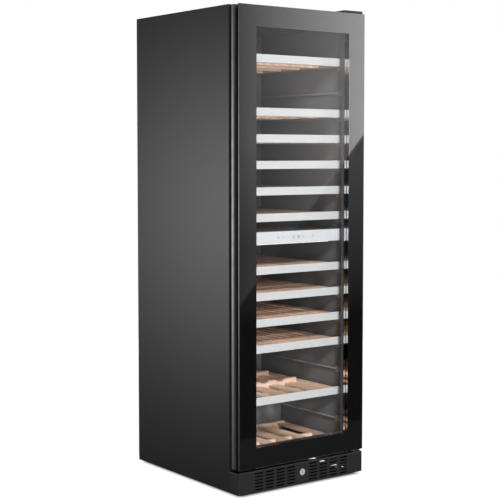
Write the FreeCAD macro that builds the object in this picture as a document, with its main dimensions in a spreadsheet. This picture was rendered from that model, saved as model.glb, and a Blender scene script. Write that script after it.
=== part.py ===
import FreeCAD, Part
import math
import os
import re
import Sketcher
from FreeCAD import Rotation, Vector

# A tall free-standing wine cooler with two temperature zones behind one glass door.
# Frame: origin on the floor under the middle of the cooler, X to the right seen from the front,
# the door faces -Y, Z up.  All sizes are in millimetres.

DOC = FreeCAD.newDocument("WineCooler")

# ---------------------------------------------------------------- driving sizes

SIZES = {
    # overall
    "width": 595, "total_depth": 680, "cabinet_height": 1760, "floor_gap": 8, "skin": 1.2,
    # inside of the cabinet
    "liner": 2, "side_wall": 45.5, "floor_wall": 28, "top_wall": 48, "rear_wall": 50,
    "hump_reach": 170, "hump_top": 300, "base_level": 88, "well_wall": 38, "duct_gap": 37,
    "duct_sheet": 2,
    # door
    "door_stand": 62, "door_side_gap": 3.5, "door_drop": 2, "door_low": 97, "pane": 4,
    "glass_gap": 10, "frit_border": 76.5, "frit_bottom": 75, "spacer_width": 12, "pane_margin": 2.5,
    "pane_clear": 1, "lip_margin": 4.5, "rest_clear": 0.3, "profile_wall": 4, "grip_start": 13,
    "grip_width": 24, "grip_depth": 26, "gasket_width": 14, "gasket_thick": 11.5,
    "gasket_inset": 16, "gasket_bottom_inset": 3, "gasket_base": 3, "gasket_lip_inset": 2,
    "seal_gap": 0.5,
    # hinges
    "hinge_inset": 8, "hinge_setback": 32, "pin_radius": 4, "pin_clear": 0.05, "pin_depth": 18,
    "bore_depth": 20, "hinge_plate": 4, "hinge_lift": 0.5, "hinge_width": 34, "hinge_nose": 12,
    "top_plate_width": 74, "top_plate_length": 130, "cover_width": 89, "cover_length": 170,
    "cover_height": 10, "cover_wall": 2, "cover_side_gap": 0.5,
    # plinth and lock
    "plinth_setback": 8.5, "plinth_wall": 2.5, "plinth_drop": 0.5, "plinth_lip": 12,
    "plinth_round": 4, "slot_length": 37.2, "slot_height": 5.5, "slot_pitch": 49.7,
    "slot_start": 34, "slot_row_pitch": 11.9, "slot_first_row": 16.8, "lock_height": 50,
    "lock_radius": 9, "lock_head_radius": 12.3, "lock_head": 2, "lock_length": 25.5,
    "cam_length": 42, "cam_width": 14, "cam_thick": 3, "keyway_width": 1.8,
    "keyway_height": 9, "strike_thick": 3, "strike_half": 15, "strike_drop": 8, "strike_gap": 2,
    # shelf ladder: it is counted from the underside of the runners at the lowest place
    "first_level": 111.5, "level_pitch": 96.8, "trim_gap": 5, "trim_height": 30,
    "trim_setback": 16, "trim_thick": 4, "trim_wall": 1.5, "runner_room": 9, "rack_gap": 13,
    "rack_sink": 7, "slat_thick": 12, "slat_width": 22, "slat_pitch": 40, "board_width": 40,
    "rail_width": 18, "rail_height": 11, "runner_wall": 1.5, "runner_top": 12,
    "runner_reach": 8.5, "display_slat": 38, "display_pitch": 79, "cradle_radius": 38,
    "cradle_height": 16, "cradle_depth": 9, "cradle_thick": 18, "cradle_set": 212,
    "cradle_space": 180, "bottom_slat": 48, "bottom_rack_gap": 30, "bottom_rack_set": 12,
    "bottom_cross_set": 100, "bottom_sink": 2, "bottom_stop": 3,
    # guides on the inner walls
    "guide_reach": 10, "guide_height": 4.7, "guide_clear": 0.3, "guide_set": 28,
    "guide_short": 5, "clip_thick": 4.5, "clip_height": 22, "clip_drop": 23, "clip_proud": 4,
    # divider and control panel
    "panel_rise": 7.6, "divider_thick": 41, "panel_height": 45, "panel_thick": 6, "panel_gap": 2,
    "key_rise": 0.4, "key_radius": 5,
    "key_pitch": 23.5, "readout_width": 20, "readout_height": 16, "readout_shift": 17,
    # base, feet and rollers
    "sill_width": 14, "tray_level": 34, "tray_thick": 2, "foot_radius": 20, "foot_height": 7,
    "stem_radius": 5, "stem_clear": 0.05, "stem_top": 52, "foot_in": 39.5, "foot_back": 28,
    "foot_bar": 46, "roller_radius": 16, "roller_width": 22, "roller_in": 35.5, "roller_back": 98,
    "axle_radius": 3, "axle_clear": 0.06, "cheek": 3, "cheek_gap": 1, "cheek_length": 30,
    "tray_gap": 7, "bracket_drop": 6,
    # cooling system
    "compressor_x": -95, "compressor_back": 92, "compressor_radius": 70, "compressor_low": 48,
    "compressor_height": 150, "condenser_left": 78, "condenser_width": 90, "condenser_back": 160,
    "condenser_length": 140, "condenser_low": 40, "condenser_height": 190, "fin": 2,
    "fin_pitch": 8, "tube_radius": 4, "shroud": 3, "condenser_fan_radius": 62,
    "fan_radius": 44, "fan_hub": 16, "fan_depth": 12, "fan_clear": 2.5, "shaft_radius": 1.5,
    "shaft_clear": 0.05, "motor_radius": 15, "motor_length": 14, "upper_fan_drop": 152,
    "lower_fan_level": 800, "evaporator_half": 150, "evaporator_gap": 9,
    "evaporator_depth": 22, "evaporator_height": 120, "upper_evaporator": 1180,
    "lower_evaporator": 560, "vent_half": 110, "vent_height": 5, "vent_pitch": 14,
    # lights, electrics, rear cover
    "light_gap": 52, "light_width": 18, "light_height": 6, "light_set": 22,
    "inlet_in": 47.5, "inlet_level": 75, "inlet_width": 28, "inlet_height": 22, "inlet_depth": 22,
    "inlet_wall": 2.5, "inlet_fit": 0.2, "box_in": 12.5, "box_width": 80, "box_length": 135,
    "box_gap": 15, "box_low": 120, "box_high": 235, "service_low": 22,
    "service_slot": 60, "service_pitch": 75, "service_row": 14,
}

SHEET = DOC.addObject("Spreadsheet::Sheet", "Sizes")
for row, (alias, number) in enumerate(SIZES.items(), start=1):
    SHEET.set(f"A{row}", alias)
    SHEET.set(f"B{row}", str(number))
    SHEET.setAlias(f"B{row}", alias)
DOC.recompute()

# Places that follow from the sizes, written once and used by every piece that meets there.
PLACES = {
    "half": "width / 2",
    "front": "-total_depth / 2",
    "rear": "total_depth / 2",
    "face": "front + door_stand",
    "liner_half": "half - side_wall",
    "interior_low": "base_level + floor_wall",
    "interior_high": "cabinet_height - top_wall",
    "liner_back": "rear - rear_wall",
    "hump_front": "liner_back - hump_reach",
    "well_front": "hump_front + well_wall",
    "well_top": "hump_top - well_wall",
    "duct_face": "liner_back - duct_gap",
    "skin_in": "half - skin",
    "top_in": "cabinet_height - skin",
    "rear_in": "rear - skin",
    "liner_out": "liner_half + liner",
    "door_half": "half - door_side_gap",
    "door_top": "cabinet_height - door_drop",
    "window_half": "door_half - frit_border",
    "window_low": "door_low + frit_bottom",
    "window_high": "door_top - frit_border",
    "pane_half": "window_half + spacer_width + pane_margin",
    "pane_low": "window_low - spacer_width - pane_margin",
    "pane_high": "window_high + spacer_width + pane_margin",
    "mid_pane": "front + pane + glass_gap",
    "rear_pane": "mid_pane + pane + glass_gap",
    "glass_rear": "rear_pane + pane",
    "frame_front": "front + pane",
    "frame_rear": "face - seal_gap - gasket_thick",
    "rebate": "pane_half + pane_clear",
    "lip_half": "window_half + lip_margin",
    "lip_front": "glass_rear + rest_clear",
    "grip_front": "front + grip_start",
    "grip_rear": "grip_front + grip_width",
    "grip_floor": "door_half - grip_depth",
    "hinge_x": "door_half - hinge_inset",
    "hinge_y": "front + hinge_setback",
    "plinth_front": "front + plinth_setback",
    "plinth_top": "base_level - plinth_drop",
    "strike_front": "plinth_front + lock_length + strike_gap",
    "trim_front": "face + trim_setback",
    "trim_rear": "trim_front + trim_thick",
    "trim_half": "liner_half - trim_gap",
    "rack_half": "trim_half - runner_room",
    "rack_rear": "duct_face - rack_gap",
    "cradle_front": "trim_front + cradle_set",
    "cradle_rear": "cradle_front + cradle_space",
    "guide_front": "trim_rear + guide_set",
    "guide_rear": "rack_rear - guide_short",
    "clip_front": "trim_front - clip_proud",
    "panel_mid": "first_level + trim_height + 8 * level_pitch + panel_rise",
    "panel_half": "liner_half - panel_gap",
    "panel_low": "panel_mid - panel_height / 2",
    "panel_high": "panel_mid + panel_height / 2",
    "divider_low": "panel_mid - divider_thick / 2",
    "divider_high": "panel_mid + divider_thick / 2",
    "divider_front": "trim_front",
    "slat_top": "-rack_sink",
    "slat_low": "-rack_sink - slat_thick",
    "rail_low": "-rack_sink - slat_thick - rail_height",
    "guide_top": "-trim_height - guide_clear",
    "foot_x": "half - foot_in",
    "foot_y": "face + foot_back",
    "roller_x": "half - roller_in",
    "roller_y": "rear - roller_back",
    "roller_level": "roller_radius",
    "tray_front": "well_front + tray_gap",
    "compressor_y": "rear - compressor_back",
    "condenser_front": "rear - condenser_back",
    "upper_fan_level": "interior_high - upper_fan_drop",
    "evaporator_front": "duct_face + evaporator_gap",
    "light_half": "liner_half - light_gap",
    "light_front": "trim_front + light_set",
    "inlet_x": "inlet_in - half",
    "box_left": "box_in - half",
    "box_right": "box_left + box_width",
    "box_rear": "rear - box_gap",
    "box_front": "box_rear - box_length",
    "motor_front": "liner_back - motor_length",
    "rotor_rear": "motor_front - 1",
    "rotor_front": "rotor_rear - fan_depth",
    "shroud_left": "condenser_left - 2 * shroud",
    "side_rotor_high": "shroud_left - 4",
    "side_rotor_low": "side_rotor_high - fan_depth",
    "condenser_mid_y": "condenser_front + condenser_length / 2",
    "condenser_mid_z": "condenser_low + condenser_height / 2",
    "bottom_rack_front": "trim_front + bottom_rack_set",
    "bottom_rack_rear": "hump_front - bottom_rack_gap",
    "bottom_cross": "bottom_rack_front + bottom_cross_set",
    "bottom_slat_low": "interior_low + rail_height",
    "bottom_rack_top": "bottom_slat_low + slat_thick - bottom_sink",
}

NAME = re.compile(r"[a-z][a-z_]*")


def bound(text):
    """An expression for FreeCAD, with places written out and sizes read from the sheet."""
    def swap(match):
        word = match.group(0)
        if word in PLACES:
            return f"({bound(PLACES[word])})"
        return f"Sizes.{word}" if word in SIZES else word
    return NAME.sub(swap, text)


def size(alias):
    """A driving size as a number, read back from the sheet."""
    return float(SHEET.get(alias))


# ---------------------------------------------------------------- ways of making pieces

def place(item, x, y, z):
    """Bind where a piece stands to the sheet."""
    for axis, text in zip("xyz", (x, y, z)):
        item.setExpression(f"Placement.Base.{axis}", bound(str(text)))
    return item


def block(low, high):
    """A box between two corners."""
    item = DOC.addObject("Part::Box", "Block")
    for side, start, end in zip(("Length", "Width", "Height"), low, high):
        item.setExpression(side, bound(f"({end}) - ({start})"))
    return place(item, *low)


def mirrored_blocks(inner, outer, low, high):
    """Two boxes, left and right, between two distances from the middle plane."""
    right = block((inner, low[0], low[1]), (outer, high[0], high[1]))
    left = block((f"-({outer})", low[0], low[1]), (f"-({inner})", high[0], high[1]))
    return [left, right]


TURNS = {
    "x": Rotation(Vector(0, 1, 0), 90),
    "y": Rotation(Vector(1, 0, 0), -90),
    "z": Rotation(),
}


def rod(start, radius, length, axis="z"):
    """A round bar from its start point along +X, +Y or +Z."""
    item = DOC.addObject("Part::Cylinder", "Rod")
    item.Placement.Rotation = TURNS[axis]
    item.setExpression("Radius", bound(str(radius)))
    item.setExpression("Height", bound(str(length)))
    return place(item, *start)


def joined(*items):
    """Pieces welded, glued or moulded into one."""
    item = DOC.addObject("Part::MultiFuse", "Joined")
    item.Shapes = list(items)
    item.Refine = True
    return item


def less(base, *tools):
    """A piece with others cut out of it."""
    item = DOC.addObject("Part::Cut", "Less")
    item.Base = base
    item.Tool = tools[0] if len(tools) == 1 else joined(*tools)
    return item


def grouped(*items):
    """Separate pieces kept together in one node."""
    item = DOC.addObject("Part::Compound", "Group")
    item.Links = list(items)
    return item


def origin_plane(body, role):
    """One of a body's own origin planes."""
    return next(plane for plane in body.Origin.OriginFeatures if plane.Role == role)


def drawn(body, role, loops, offset="0"):
    """A sketch of closed outlines whose corners are bound to the sheet."""
    sketch = body.newObject("Sketcher::SketchObject", "Outline")
    sketch.AttachmentSupport = [(origin_plane(body, role), "")]
    sketch.MapMode = "FlatFace"
    sketch.setExpression("AttachmentOffset.Base.z", bound(str(offset)))
    DOC.recompute()
    for loop in loops:
        corners = [Vector(measured(u), measured(v), 0) for u, v in loop]
        first = sketch.GeometryCount
        for index, corner in enumerate(corners):
            after = corners[(index + 1) % len(corners)]
            sketch.addGeometry(Part.LineSegment(corner, after), False)
        for index, (u, v) in enumerate(loop):
            line = first + index
            before = first + (index - 1) % len(corners)
            sketch.addConstraint(Sketcher.Constraint("Coincident", before, 2, line, 1))
            for kind, text in (("DistanceX", u), ("DistanceY", v)):
                number = sketch.addConstraint(
                    Sketcher.Constraint(kind, -1, 1, line, 1, measured(text)))
                sketch.setExpression(f"Constraints[{number}]", bound(str(text)))
    return sketch


PROBE = DOC.addObject("App::FeaturePython", "Probe")
PROBE.addProperty("App::PropertyFloat", "Value")


def measured(text):
    """The number that an expression of sizes and places stands for."""
    PROBE.setExpression("Value", bound(str(text)))
    PROBE.recompute()
    return float(PROBE.Value)


def padded(role, loops, start, end):
    """A body padded from an outline, between two distances along the plane's normal."""
    body = DOC.addObject("PartDesign::Body", "Body")
    sketch = drawn(body, role, loops, start)
    pad = body.newObject("PartDesign::Pad", "Pad")
    pad.Profile = sketch
    pad.setExpression("Length", bound(f"({end}) - ({start})"))
    body.Tip = pad
    return body


def turned(profile, x, y, z, axis="z"):
    """A body turned from a profile of (radius, height) corners about its own axis."""
    body = DOC.addObject("PartDesign::Body", "Body")
    sketch = drawn(body, "XZ_Plane", [profile])
    turn = body.newObject("PartDesign::Revolution", "Turn")
    turn.Profile = sketch
    turn.ReferenceAxis = (sketch, ["V_Axis"])
    turn.Angle = 360
    body.Tip = turn
    body.Placement.Rotation = TURNS[axis]
    return place(body, x, y, z)


NODES = {}


def node(label, item):
    """Name a finished piece; the label names its file."""
    item.Label = label
    NODES[label] = item
    return item


def level(number):
    """The height of the top of the front trim at a shelf position, counted from the lowest."""
    return f"first_level + trim_height + {number} * level_pitch"


# ---------------------------------------------------------------- cabinet shell

def side_outline(sign):
    """A side panel's sheet in plan, folded inwards at the front to meet the door seal."""
    corners = [("half", "face"), ("liner_out", "face"), ("liner_out", "face + skin"),
               ("skin_in", "face + skin"), ("skin_in", "rear_in"), ("half", "rear_in")]
    return [[(f"{sign} * ({x})", y) for x, y in corners]]


node("side_panel_left", padded("XY_Plane", side_outline(-1), "floor_gap", "top_in"))
node("side_panel_right", padded("XY_Plane", side_outline(1), "floor_gap", "top_in"))
node("top_panel", joined(
    block(("-half", "face", "top_in"), ("half", "rear_in", "cabinet_height")),
    block(("-liner_out", "face", "interior_high + liner"), ("liner_out", "face + skin", "top_in"))))
node("back_panel", block(("-half", "rear_in", "well_top"), ("half", "rear", "cabinet_height")))
node("underside_panel", joined(
    block(("-liner_out", "face", "base_level - skin"),
          ("liner_out", "face + skin", "interior_low - liner")),
    block(("-skin_in", "face + skin", "base_level - skin"), ("skin_in", "well_front", "base_level")),
    block(("-skin_in", "well_front - skin", "base_level"), ("skin_in", "well_front", "well_top")),
    block(("-skin_in", "well_front - skin", "well_top"), ("skin_in", "rear_in", "well_top + skin"))))


def stepped_space(side, front, low, back, high, step_front, step_top):
    """The cabinet's inside with the step over the compressor left out of it."""
    return less(block((f"-({side})", front, low), (side, back, high)),
                block((f"-({side}) - 1", step_front, f"{low} - 1"),
                      (f"{side} + 1", f"{back} + 1", step_top)))


node("inner_liner", less(
    stepped_space("liner_out", "face", "interior_low - liner", "liner_back + liner",
                  "interior_high + liner", "hump_front + liner", "hump_top - liner"),
    stepped_space("liner_half", "face - 1", "interior_low", "liner_back", "interior_high",
                  "hump_front", "hump_top")))
node("insulation", less(
    block(("-skin_in", "face + skin", "base_level"), ("skin_in", "rear_in", "top_in")),
    stepped_space("liner_out", "face", "interior_low - liner", "liner_back + liner",
                  "interior_high + liner", "hump_front + liner", "hump_top - liner"),
    block(("-skin_in - 1", "well_front - skin", "base_level - 1"),
          ("skin_in + 1", "rear_in + 1", "well_top + skin"))))

# ---------------------------------------------------------------- base, feet and rollers

roller_parts = []
for side in (-1, 1):
    middle = f"{side} * roller_x"
    for edge in (-1, 1):
        near = f"{middle} + {edge} * (roller_width / 2 + cheek_gap)"
        inner, outer = (near, f"{near} + cheek") if edge > 0 else (f"{near} - cheek", near)
        roller_parts.append(block((inner, "roller_y - cheek_length / 2", "roller_level - bracket_drop"),
                                  (outer, "roller_y + cheek_length / 2", "tray_level")))
    roller_parts.append(rod(
        (f"{middle} - roller_width / 2 - cheek_gap - cheek", "roller_y", "roller_level"),
        "axle_radius", "roller_width + 2 * (cheek_gap + cheek)", "x"))
    node("rear_roller_" + ("left" if side < 0 else "right"), turned(
        [("axle_radius + axle_clear", "-roller_width / 2"),
         ("roller_radius - 2", "-roller_width / 2"),
         ("roller_radius", "-roller_width / 2 + 2"), ("roller_radius", "roller_width / 2 - 2"),
         ("roller_radius - 2", "roller_width / 2"),
         ("axle_radius + axle_clear", "roller_width / 2")],
        middle, "roller_y", "roller_level", "x"))

tray = "skin_in - sill_width"
foot_holes = [rod((f"{side} * foot_x", "foot_y", "tray_level - 1"), "stem_radius + stem_clear",
                  "tray_thick + 2") for side in (-1, 1)]
node("base_frame", less(joined(
    *mirrored_blocks(tray, "skin_in", ("face + skin", "floor_gap"), ("rear_in", "tray_level + 2")),
    block((f"-({tray})", "foot_y - foot_bar / 2", "tray_level"),
          (tray, "foot_y + foot_bar / 2", "tray_level + tray_thick")),
    block((f"-({tray})", "tray_front", "tray_level"), (tray, "rear_in", "tray_level + tray_thick")),
    *roller_parts), *foot_holes))


def foot(side):
    """A levelling foot: a round pad on a threaded stem."""
    return turned([("0", "0"), ("foot_radius - 2", "0"), ("foot_radius", "2"),
                   ("foot_radius", "foot_height - 2"), ("foot_radius - 3", "foot_height"),
                   ("stem_radius", "foot_height"), ("stem_radius", "stem_top"), ("0", "stem_top")],
                  f"{side} * foot_x", "foot_y", "0")


node("front_feet", grouped(foot(-1), foot(1)))

# ---------------------------------------------------------------- plinth and lock

cover = block(("-half", "plinth_front", "floor_gap"), ("half", "face - rest_clear", "plinth_top"))
rounded = DOC.addObject("Part::Fillet", "Rounded")
rounded.Base = cover
DOC.recompute()
front_plane, top_plane = measured("plinth_front"), measured("plinth_top")
edges = []
for index, edge in enumerate(cover.Shape.Edges, start=1):
    middle = edge.CenterOfMass
    on_front = abs(middle.y - front_plane) < 0.01
    on_top = abs(middle.z - top_plane) < 0.01
    upright = abs(edge.Vertexes[0].Z - edge.Vertexes[-1].Z) > 1
    if (on_front and (on_top or upright)) or (on_top and abs(middle.x) > 1):
        edges.append((index, size("plinth_round"), size("plinth_round")))
rounded.Edges = edges
slots = []
for side in (-1, 1):
    for column in range(4):
        for line in range(6):
            start = f"slot_start + {column} * slot_pitch"
            low = f"slot_first_row + {line} * slot_row_pitch - slot_height / 2"
            near, far = (start, f"{start} + slot_length")
            if side < 0:
                near, far = f"-({far})", f"-({near})"
            slots.append(block((near, "plinth_front - 1", low),
                               (far, "plinth_front + plinth_wall + 1", f"{low} + slot_height")))
node("plinth", less(
    rounded,
    block(("-half + plinth_wall", "plinth_front + plinth_wall", "floor_gap - 1"),
          ("half - plinth_wall", "face", "plinth_top - plinth_wall")),
    block(("-half + plinth_wall", "plinth_front + plinth_lip", "plinth_top - plinth_wall - 1"),
          ("half - plinth_wall", "face", "plinth_top + 1")),
    rod(("0", "plinth_front - 1", "lock_height"), "lock_radius + axle_clear", "plinth_wall + 2", "y"),
    *slots))

barrel = turned([("0", "-lock_head"), ("lock_head_radius - 1", "-lock_head"),
                 ("lock_head_radius", "-lock_head + 1"), ("lock_head_radius", "0"),
                 ("lock_radius", "0"), ("lock_radius", "lock_length"), ("0", "lock_length")],
                "0", "plinth_front", "lock_height", "y")
node("lock_barrel", joined(
    less(barrel, block(("-keyway_width / 2", "plinth_front - lock_head - 1",
                        "lock_height - keyway_height / 2"),
                       ("keyway_width / 2", "plinth_front", "lock_height + keyway_height / 2"))),
    block(("-cam_width / 2", "plinth_front + lock_length - cam_thick",
           "lock_height - cam_width / 2"),
          ("cam_length", "plinth_front + lock_length", "lock_height + cam_width / 2"))))

# ---------------------------------------------------------------- hinges

node("lower_hinge", joined(
    block(("hinge_x - hinge_width + hinge_inset", "hinge_y - hinge_nose", "base_level + hinge_lift"),
          ("hinge_x + hinge_inset + 1", "face", "base_level + hinge_lift + hinge_plate")),
    block(("hinge_x - hinge_width + hinge_inset", "face - 3", "base_level - 24"),
          ("hinge_x + hinge_inset + 1", "face", "base_level + hinge_lift + hinge_plate")),
    rod(("hinge_x", "hinge_y", "base_level + hinge_lift"), "pin_radius",
        "door_low + pin_depth - base_level - hinge_lift")))
node("upper_hinge", joined(
    block(("hinge_x + hinge_inset + 1 - top_plate_width", "hinge_y - hinge_nose", "cabinet_height"),
          ("hinge_x + hinge_inset + 1", "hinge_y - hinge_nose + top_plate_length",
           "cabinet_height + hinge_plate - 0.5")),
    rod(("hinge_x", "hinge_y", "door_top - pin_depth"), "pin_radius",
        "cabinet_height - door_top + pin_depth + 1")))
cover_right = "half - cover_side_gap"
cover_front = "hinge_y - hinge_nose - cover_wall - 1"
node("hinge_cover", less(
    block((f"{cover_right} - cover_width", cover_front, "cabinet_height"),
          (cover_right, f"{cover_front} + cover_length", "cabinet_height + cover_height")),
    block((f"{cover_right} - cover_width + cover_wall", f"{cover_front} + cover_wall",
           "cabinet_height - 1"),
          (f"{cover_right} - cover_wall", f"{cover_front} + cover_length - cover_wall",
           "cabinet_height + cover_height - cover_wall"))))

# ---------------------------------------------------------------- door

profile_back = [("-rebate", "frame_front"), ("-rebate", "lip_front"), ("-lip_half", "lip_front"),
                ("-lip_half", "frame_rear"), ("-door_half", "frame_rear")]
grip = [("-door_half", "grip_rear"), ("-grip_floor", "grip_rear"), ("-grip_floor", "grip_front"),
        ("-door_half", "grip_front"), ("-door_half", "frame_front")]
hollow = [("-grip_floor + profile_wall", "frame_front + profile_wall"),
          ("-rebate - profile_wall", "frame_front + profile_wall"),
          ("-rebate - profile_wall", "frame_rear - profile_wall"),
          ("-grip_floor + profile_wall", "frame_rear - profile_wall")]
node("grip_profile", padded("XY_Plane", [profile_back + grip, hollow], "door_low", "door_top"))


def flipped(loop):
    """The same outline on the other side of the door."""
    return [(f"-({x})", y) for x, y in loop]


bore = "pin_radius + pin_clear"
hinge_side = less(
    padded("XY_Plane", [flipped(profile_back + [("-door_half", "frame_front")]), flipped(hollow)],
           "door_low", "door_top"),
    rod(("hinge_x", "hinge_y", "door_low - 1"), bore, "bore_depth + 1"),
    rod(("hinge_x", "hinge_y", "door_top - bore_depth"), bore, "bore_depth + 1"))


def rail_outline(edge, glass_edge, lip_edge):
    """The section of a top or bottom rail of the door."""
    return [("frame_front", edge), ("frame_rear", edge), ("frame_rear", lip_edge),
            ("lip_front", lip_edge), ("lip_front", glass_edge), ("frame_front", glass_edge)]


top_rail = padded("YZ_Plane", [rail_outline("door_top", "pane_high + pane_clear",
                                            "window_high + lip_margin")], "-lip_half", "lip_half")
low_rail = padded("YZ_Plane", [rail_outline("door_low", "pane_low - pane_clear",
                                            "window_low - lip_margin")], "-lip_half", "lip_half")
strike = block(("-strike_half", "strike_front", "door_low - strike_drop"),
               ("strike_half", "strike_front + strike_thick", "door_low + 1"))
node("door_frame", grouped(hinge_side, top_rail, joined(low_rail, strike)))

node("front_glass", block(("-door_half", "front", "door_low"), ("door_half", "frame_front", "door_top")))
node("inner_panes", grouped(*[
    block(("-pane_half", start, "pane_low"), ("pane_half", f"{start} + pane", "pane_high"))
    for start in ("mid_pane", "rear_pane")]))


def ring(outer, inner, front, back):
    """A rectangular ring: each opening is (half width, low edge, high edge)."""
    return less(block((f"-({outer[0]})", front, outer[1]), (outer[0], back, outer[2])),
                block((f"-({inner[0]})", f"{front} - 1", inner[1]),
                      (inner[0], f"{back} + 1", inner[2])))


spacer_outer = ("window_half + spacer_width", "window_low - spacer_width",
                "window_high + spacer_width")
window = ("window_half", "window_low", "window_high")
node("glazing_spacers", grouped(
    ring(spacer_outer, window, "frame_front", "mid_pane"),
    ring(spacer_outer, window, "mid_pane + pane", "rear_pane")))


def seal_edge(inset):
    """The seal's outline, a distance in from its outer edge."""
    return (f"door_half - gasket_inset - {inset}", f"door_low + gasket_bottom_inset + {inset}",
            f"door_top - gasket_inset - {inset}")


node("door_gasket", joined(
    ring(seal_edge("0"), seal_edge("gasket_width"), "frame_rear", "frame_rear + gasket_base"),
    ring(seal_edge("gasket_lip_inset"), seal_edge("(gasket_width - gasket_lip_inset)"),
         "frame_rear + gasket_base", "face - seal_gap")))

# ---------------------------------------------------------------- shelves

def cross_rail(start, end, low="rail_low", high="slat_low"):
    """A rail across the underside of a rack."""
    return block(("-rack_half", start, low), ("rack_half", end, high))


def rack(slat_x, slat_width, rails, extras=()):
    """A wooden rack: long slats on cross rails, with a broad board at each side."""
    slats = [block((f"{x} - {slat_width} / 2", "trim_rear", "slat_low"),
                   (f"{x} + {slat_width} / 2", "rack_rear", "slat_top")) for x in slat_x]
    boards = mirrored_blocks("rack_half - board_width", "rack_half",
                             ("trim_rear", "slat_low"), ("rack_rear", "slat_top"))
    return joined(*slats, *boards, *rails, *extras)


RAIL_SPAN = "(rack_rear - trim_rear - rail_width)"
shelf_rails = [cross_rail(f"trim_rear + {part} * {RAIL_SPAN} / 4",
                          f"trim_rear + {part} * {RAIL_SPAN} / 4 + rail_width")
               for part in range(5)]
slat_rack = rack([f"{number} * slat_pitch" for number in range(-4, 5)], "slat_width", shelf_rails)


def cradle(start):
    """A scalloped rail that holds the bottles side by side."""
    high = "slat_top + cradle_height"
    bar = block(("-rack_half + board_width", start, "slat_low"),
                ("rack_half - board_width", f"{start} + cradle_thick", high))
    scoops = [rod((f"{number} * display_pitch / 2", f"{start} - 1",
                   f"{high} + cradle_radius - cradle_depth"), "cradle_radius",
                  "cradle_thick + 2", "y") for number in (-3, -1, 1, 3)]
    return less(bar, *scoops)


display_rack = rack([f"{number} * display_pitch" for number in range(-2, 3)], "display_slat",
                    shelf_rails, (cradle("cradle_front"), cradle("cradle_rear")))

trim = padded("YZ_Plane", [[
    ("trim_front", "0"), ("trim_rear", "0"), ("trim_rear", "-trim_wall"),
    ("trim_front + trim_wall", "-trim_wall"), ("trim_front + trim_wall", "-trim_height + trim_wall"),
    ("trim_rear", "-trim_height + trim_wall"), ("trim_rear", "-trim_height"),
    ("trim_front", "-trim_height")]], "-trim_half", "trim_half")
runners = [
    *mirrored_blocks("rack_half", "rack_half + runner_wall",
                     ("trim_front + trim_wall", "-trim_height"), ("rack_rear", "-runner_top")),
    *mirrored_blocks("rack_half + runner_wall", "rack_half + runner_reach",
                     ("trim_front + trim_wall", "-trim_height"),
                     ("rack_rear", "-trim_height + runner_wall"))]
shelf_frame = joined(trim, *runners)
DOC.recompute()


def lifted(source, number):
    """A copy of a piece that was made at height zero, at a shelf position."""
    item = DOC.addObject("Part::Feature", "Lifted")
    item.Shape = source.Shape.copy()
    item.setExpression("Placement.Base.z", bound(level(number)))
    return item


DISPLAY_POSITION = 2
SHELF_POSITIONS = (DISPLAY_POSITION, 4, 5, 6, 7, 9, 10, 11, 12, 13, 15)
LADDER = [number for number in range(1, 16) if number != 8]
for count, number in enumerate(SHELF_POSITIONS, start=1):
    wood = display_rack if number == DISPLAY_POSITION else slat_rack
    node(f"shelf_rack_{count}", lifted(wood, number))
    node(f"shelf_frame_{count}", lifted(shelf_frame, number))

guide_parts = [
    mirrored_blocks("liner_half - guide_reach", "liner_half",
                    ("guide_front", "guide_top - guide_height"), ("guide_rear", "guide_top")),
    mirrored_blocks("liner_half - clip_thick", "liner_half",
                    ("clip_front", "-clip_drop - clip_height"), ("guide_front", "-clip_drop"))]
guides = [joined(*pair) for pair in zip(*guide_parts)]
short_parts = [
    mirrored_blocks("liner_half - guide_reach", "liner_half",
                    ("guide_front", "guide_top - guide_height"),
                    ("hump_front", "guide_top")),
    mirrored_blocks("liner_half - clip_thick", "liner_half",
                    ("clip_front", "-clip_drop - clip_height"), ("guide_front", "-clip_drop"))]
short_guides = [joined(*pair) for pair in zip(*short_parts)]
DOC.recompute()
over_step = [number for number in LADDER
             if measured(level(number)) - size("clip_drop") > size("hump_top")]
guide_set = []
for number in LADDER:
    for source in (guides if number in over_step else short_guides):
        guide_set.append(lifted(source, number))
node("shelf_guides", grouped(*guide_set))

bottom_slats = [block((f"{number} * display_pitch / 2 - bottom_slat / 2", "bottom_rack_front",
                       "bottom_slat_low"),
                      (f"{number} * display_pitch / 2 + bottom_slat / 2", "bottom_rack_rear",
                       "bottom_rack_top")) for number in (-3, -1, 1, 3)]
bottom_boards = mirrored_blocks("rack_half - board_width", "rack_half",
                                ("bottom_rack_front", "bottom_slat_low"),
                                ("bottom_rack_rear", "bottom_rack_top"))
bottom_rails = [cross_rail(start, f"{start} + rail_width", "interior_low", high)
                for start, high in (("bottom_rack_front", "bottom_slat_low"),
                                    ("bottom_cross", "bottom_rack_top"),
                                    ("(bottom_rack_rear - rail_width)", "bottom_rack_top + bottom_stop"))]
node("bottom_rack", joined(*bottom_slats, *bottom_boards, *bottom_rails))

# ---------------------------------------------------------------- divider and controls

node("zone_divider", block(("-liner_half", "divider_front", "divider_low"),
                           ("liner_half", "liner_back", "divider_high")))
panel_face = "divider_front - panel_thick"
keys = [rod((f"readout_shift + {step} * key_pitch", f"{panel_face} - key_rise", "panel_mid"),
            "key_radius", "key_rise + 1", "y") for step in (-3.5, -2.5, -1.5, 1.5, 2.5, 3.5)]
readouts = [block((f"readout_shift + {step} * key_pitch - readout_width / 2",
                   f"{panel_face} - key_rise", "panel_mid - readout_height / 2"),
                  (f"readout_shift + {step} * key_pitch + readout_width / 2", panel_face,
                   "panel_mid + readout_height / 2")) for step in (-0.5, 0.5)]
node("control_panel", joined(
    block(("-panel_half", panel_face, "panel_low"), ("panel_half", "divider_front", "panel_high")),
    *keys, *readouts))

# ---------------------------------------------------------------- air ducts and fans

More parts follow.
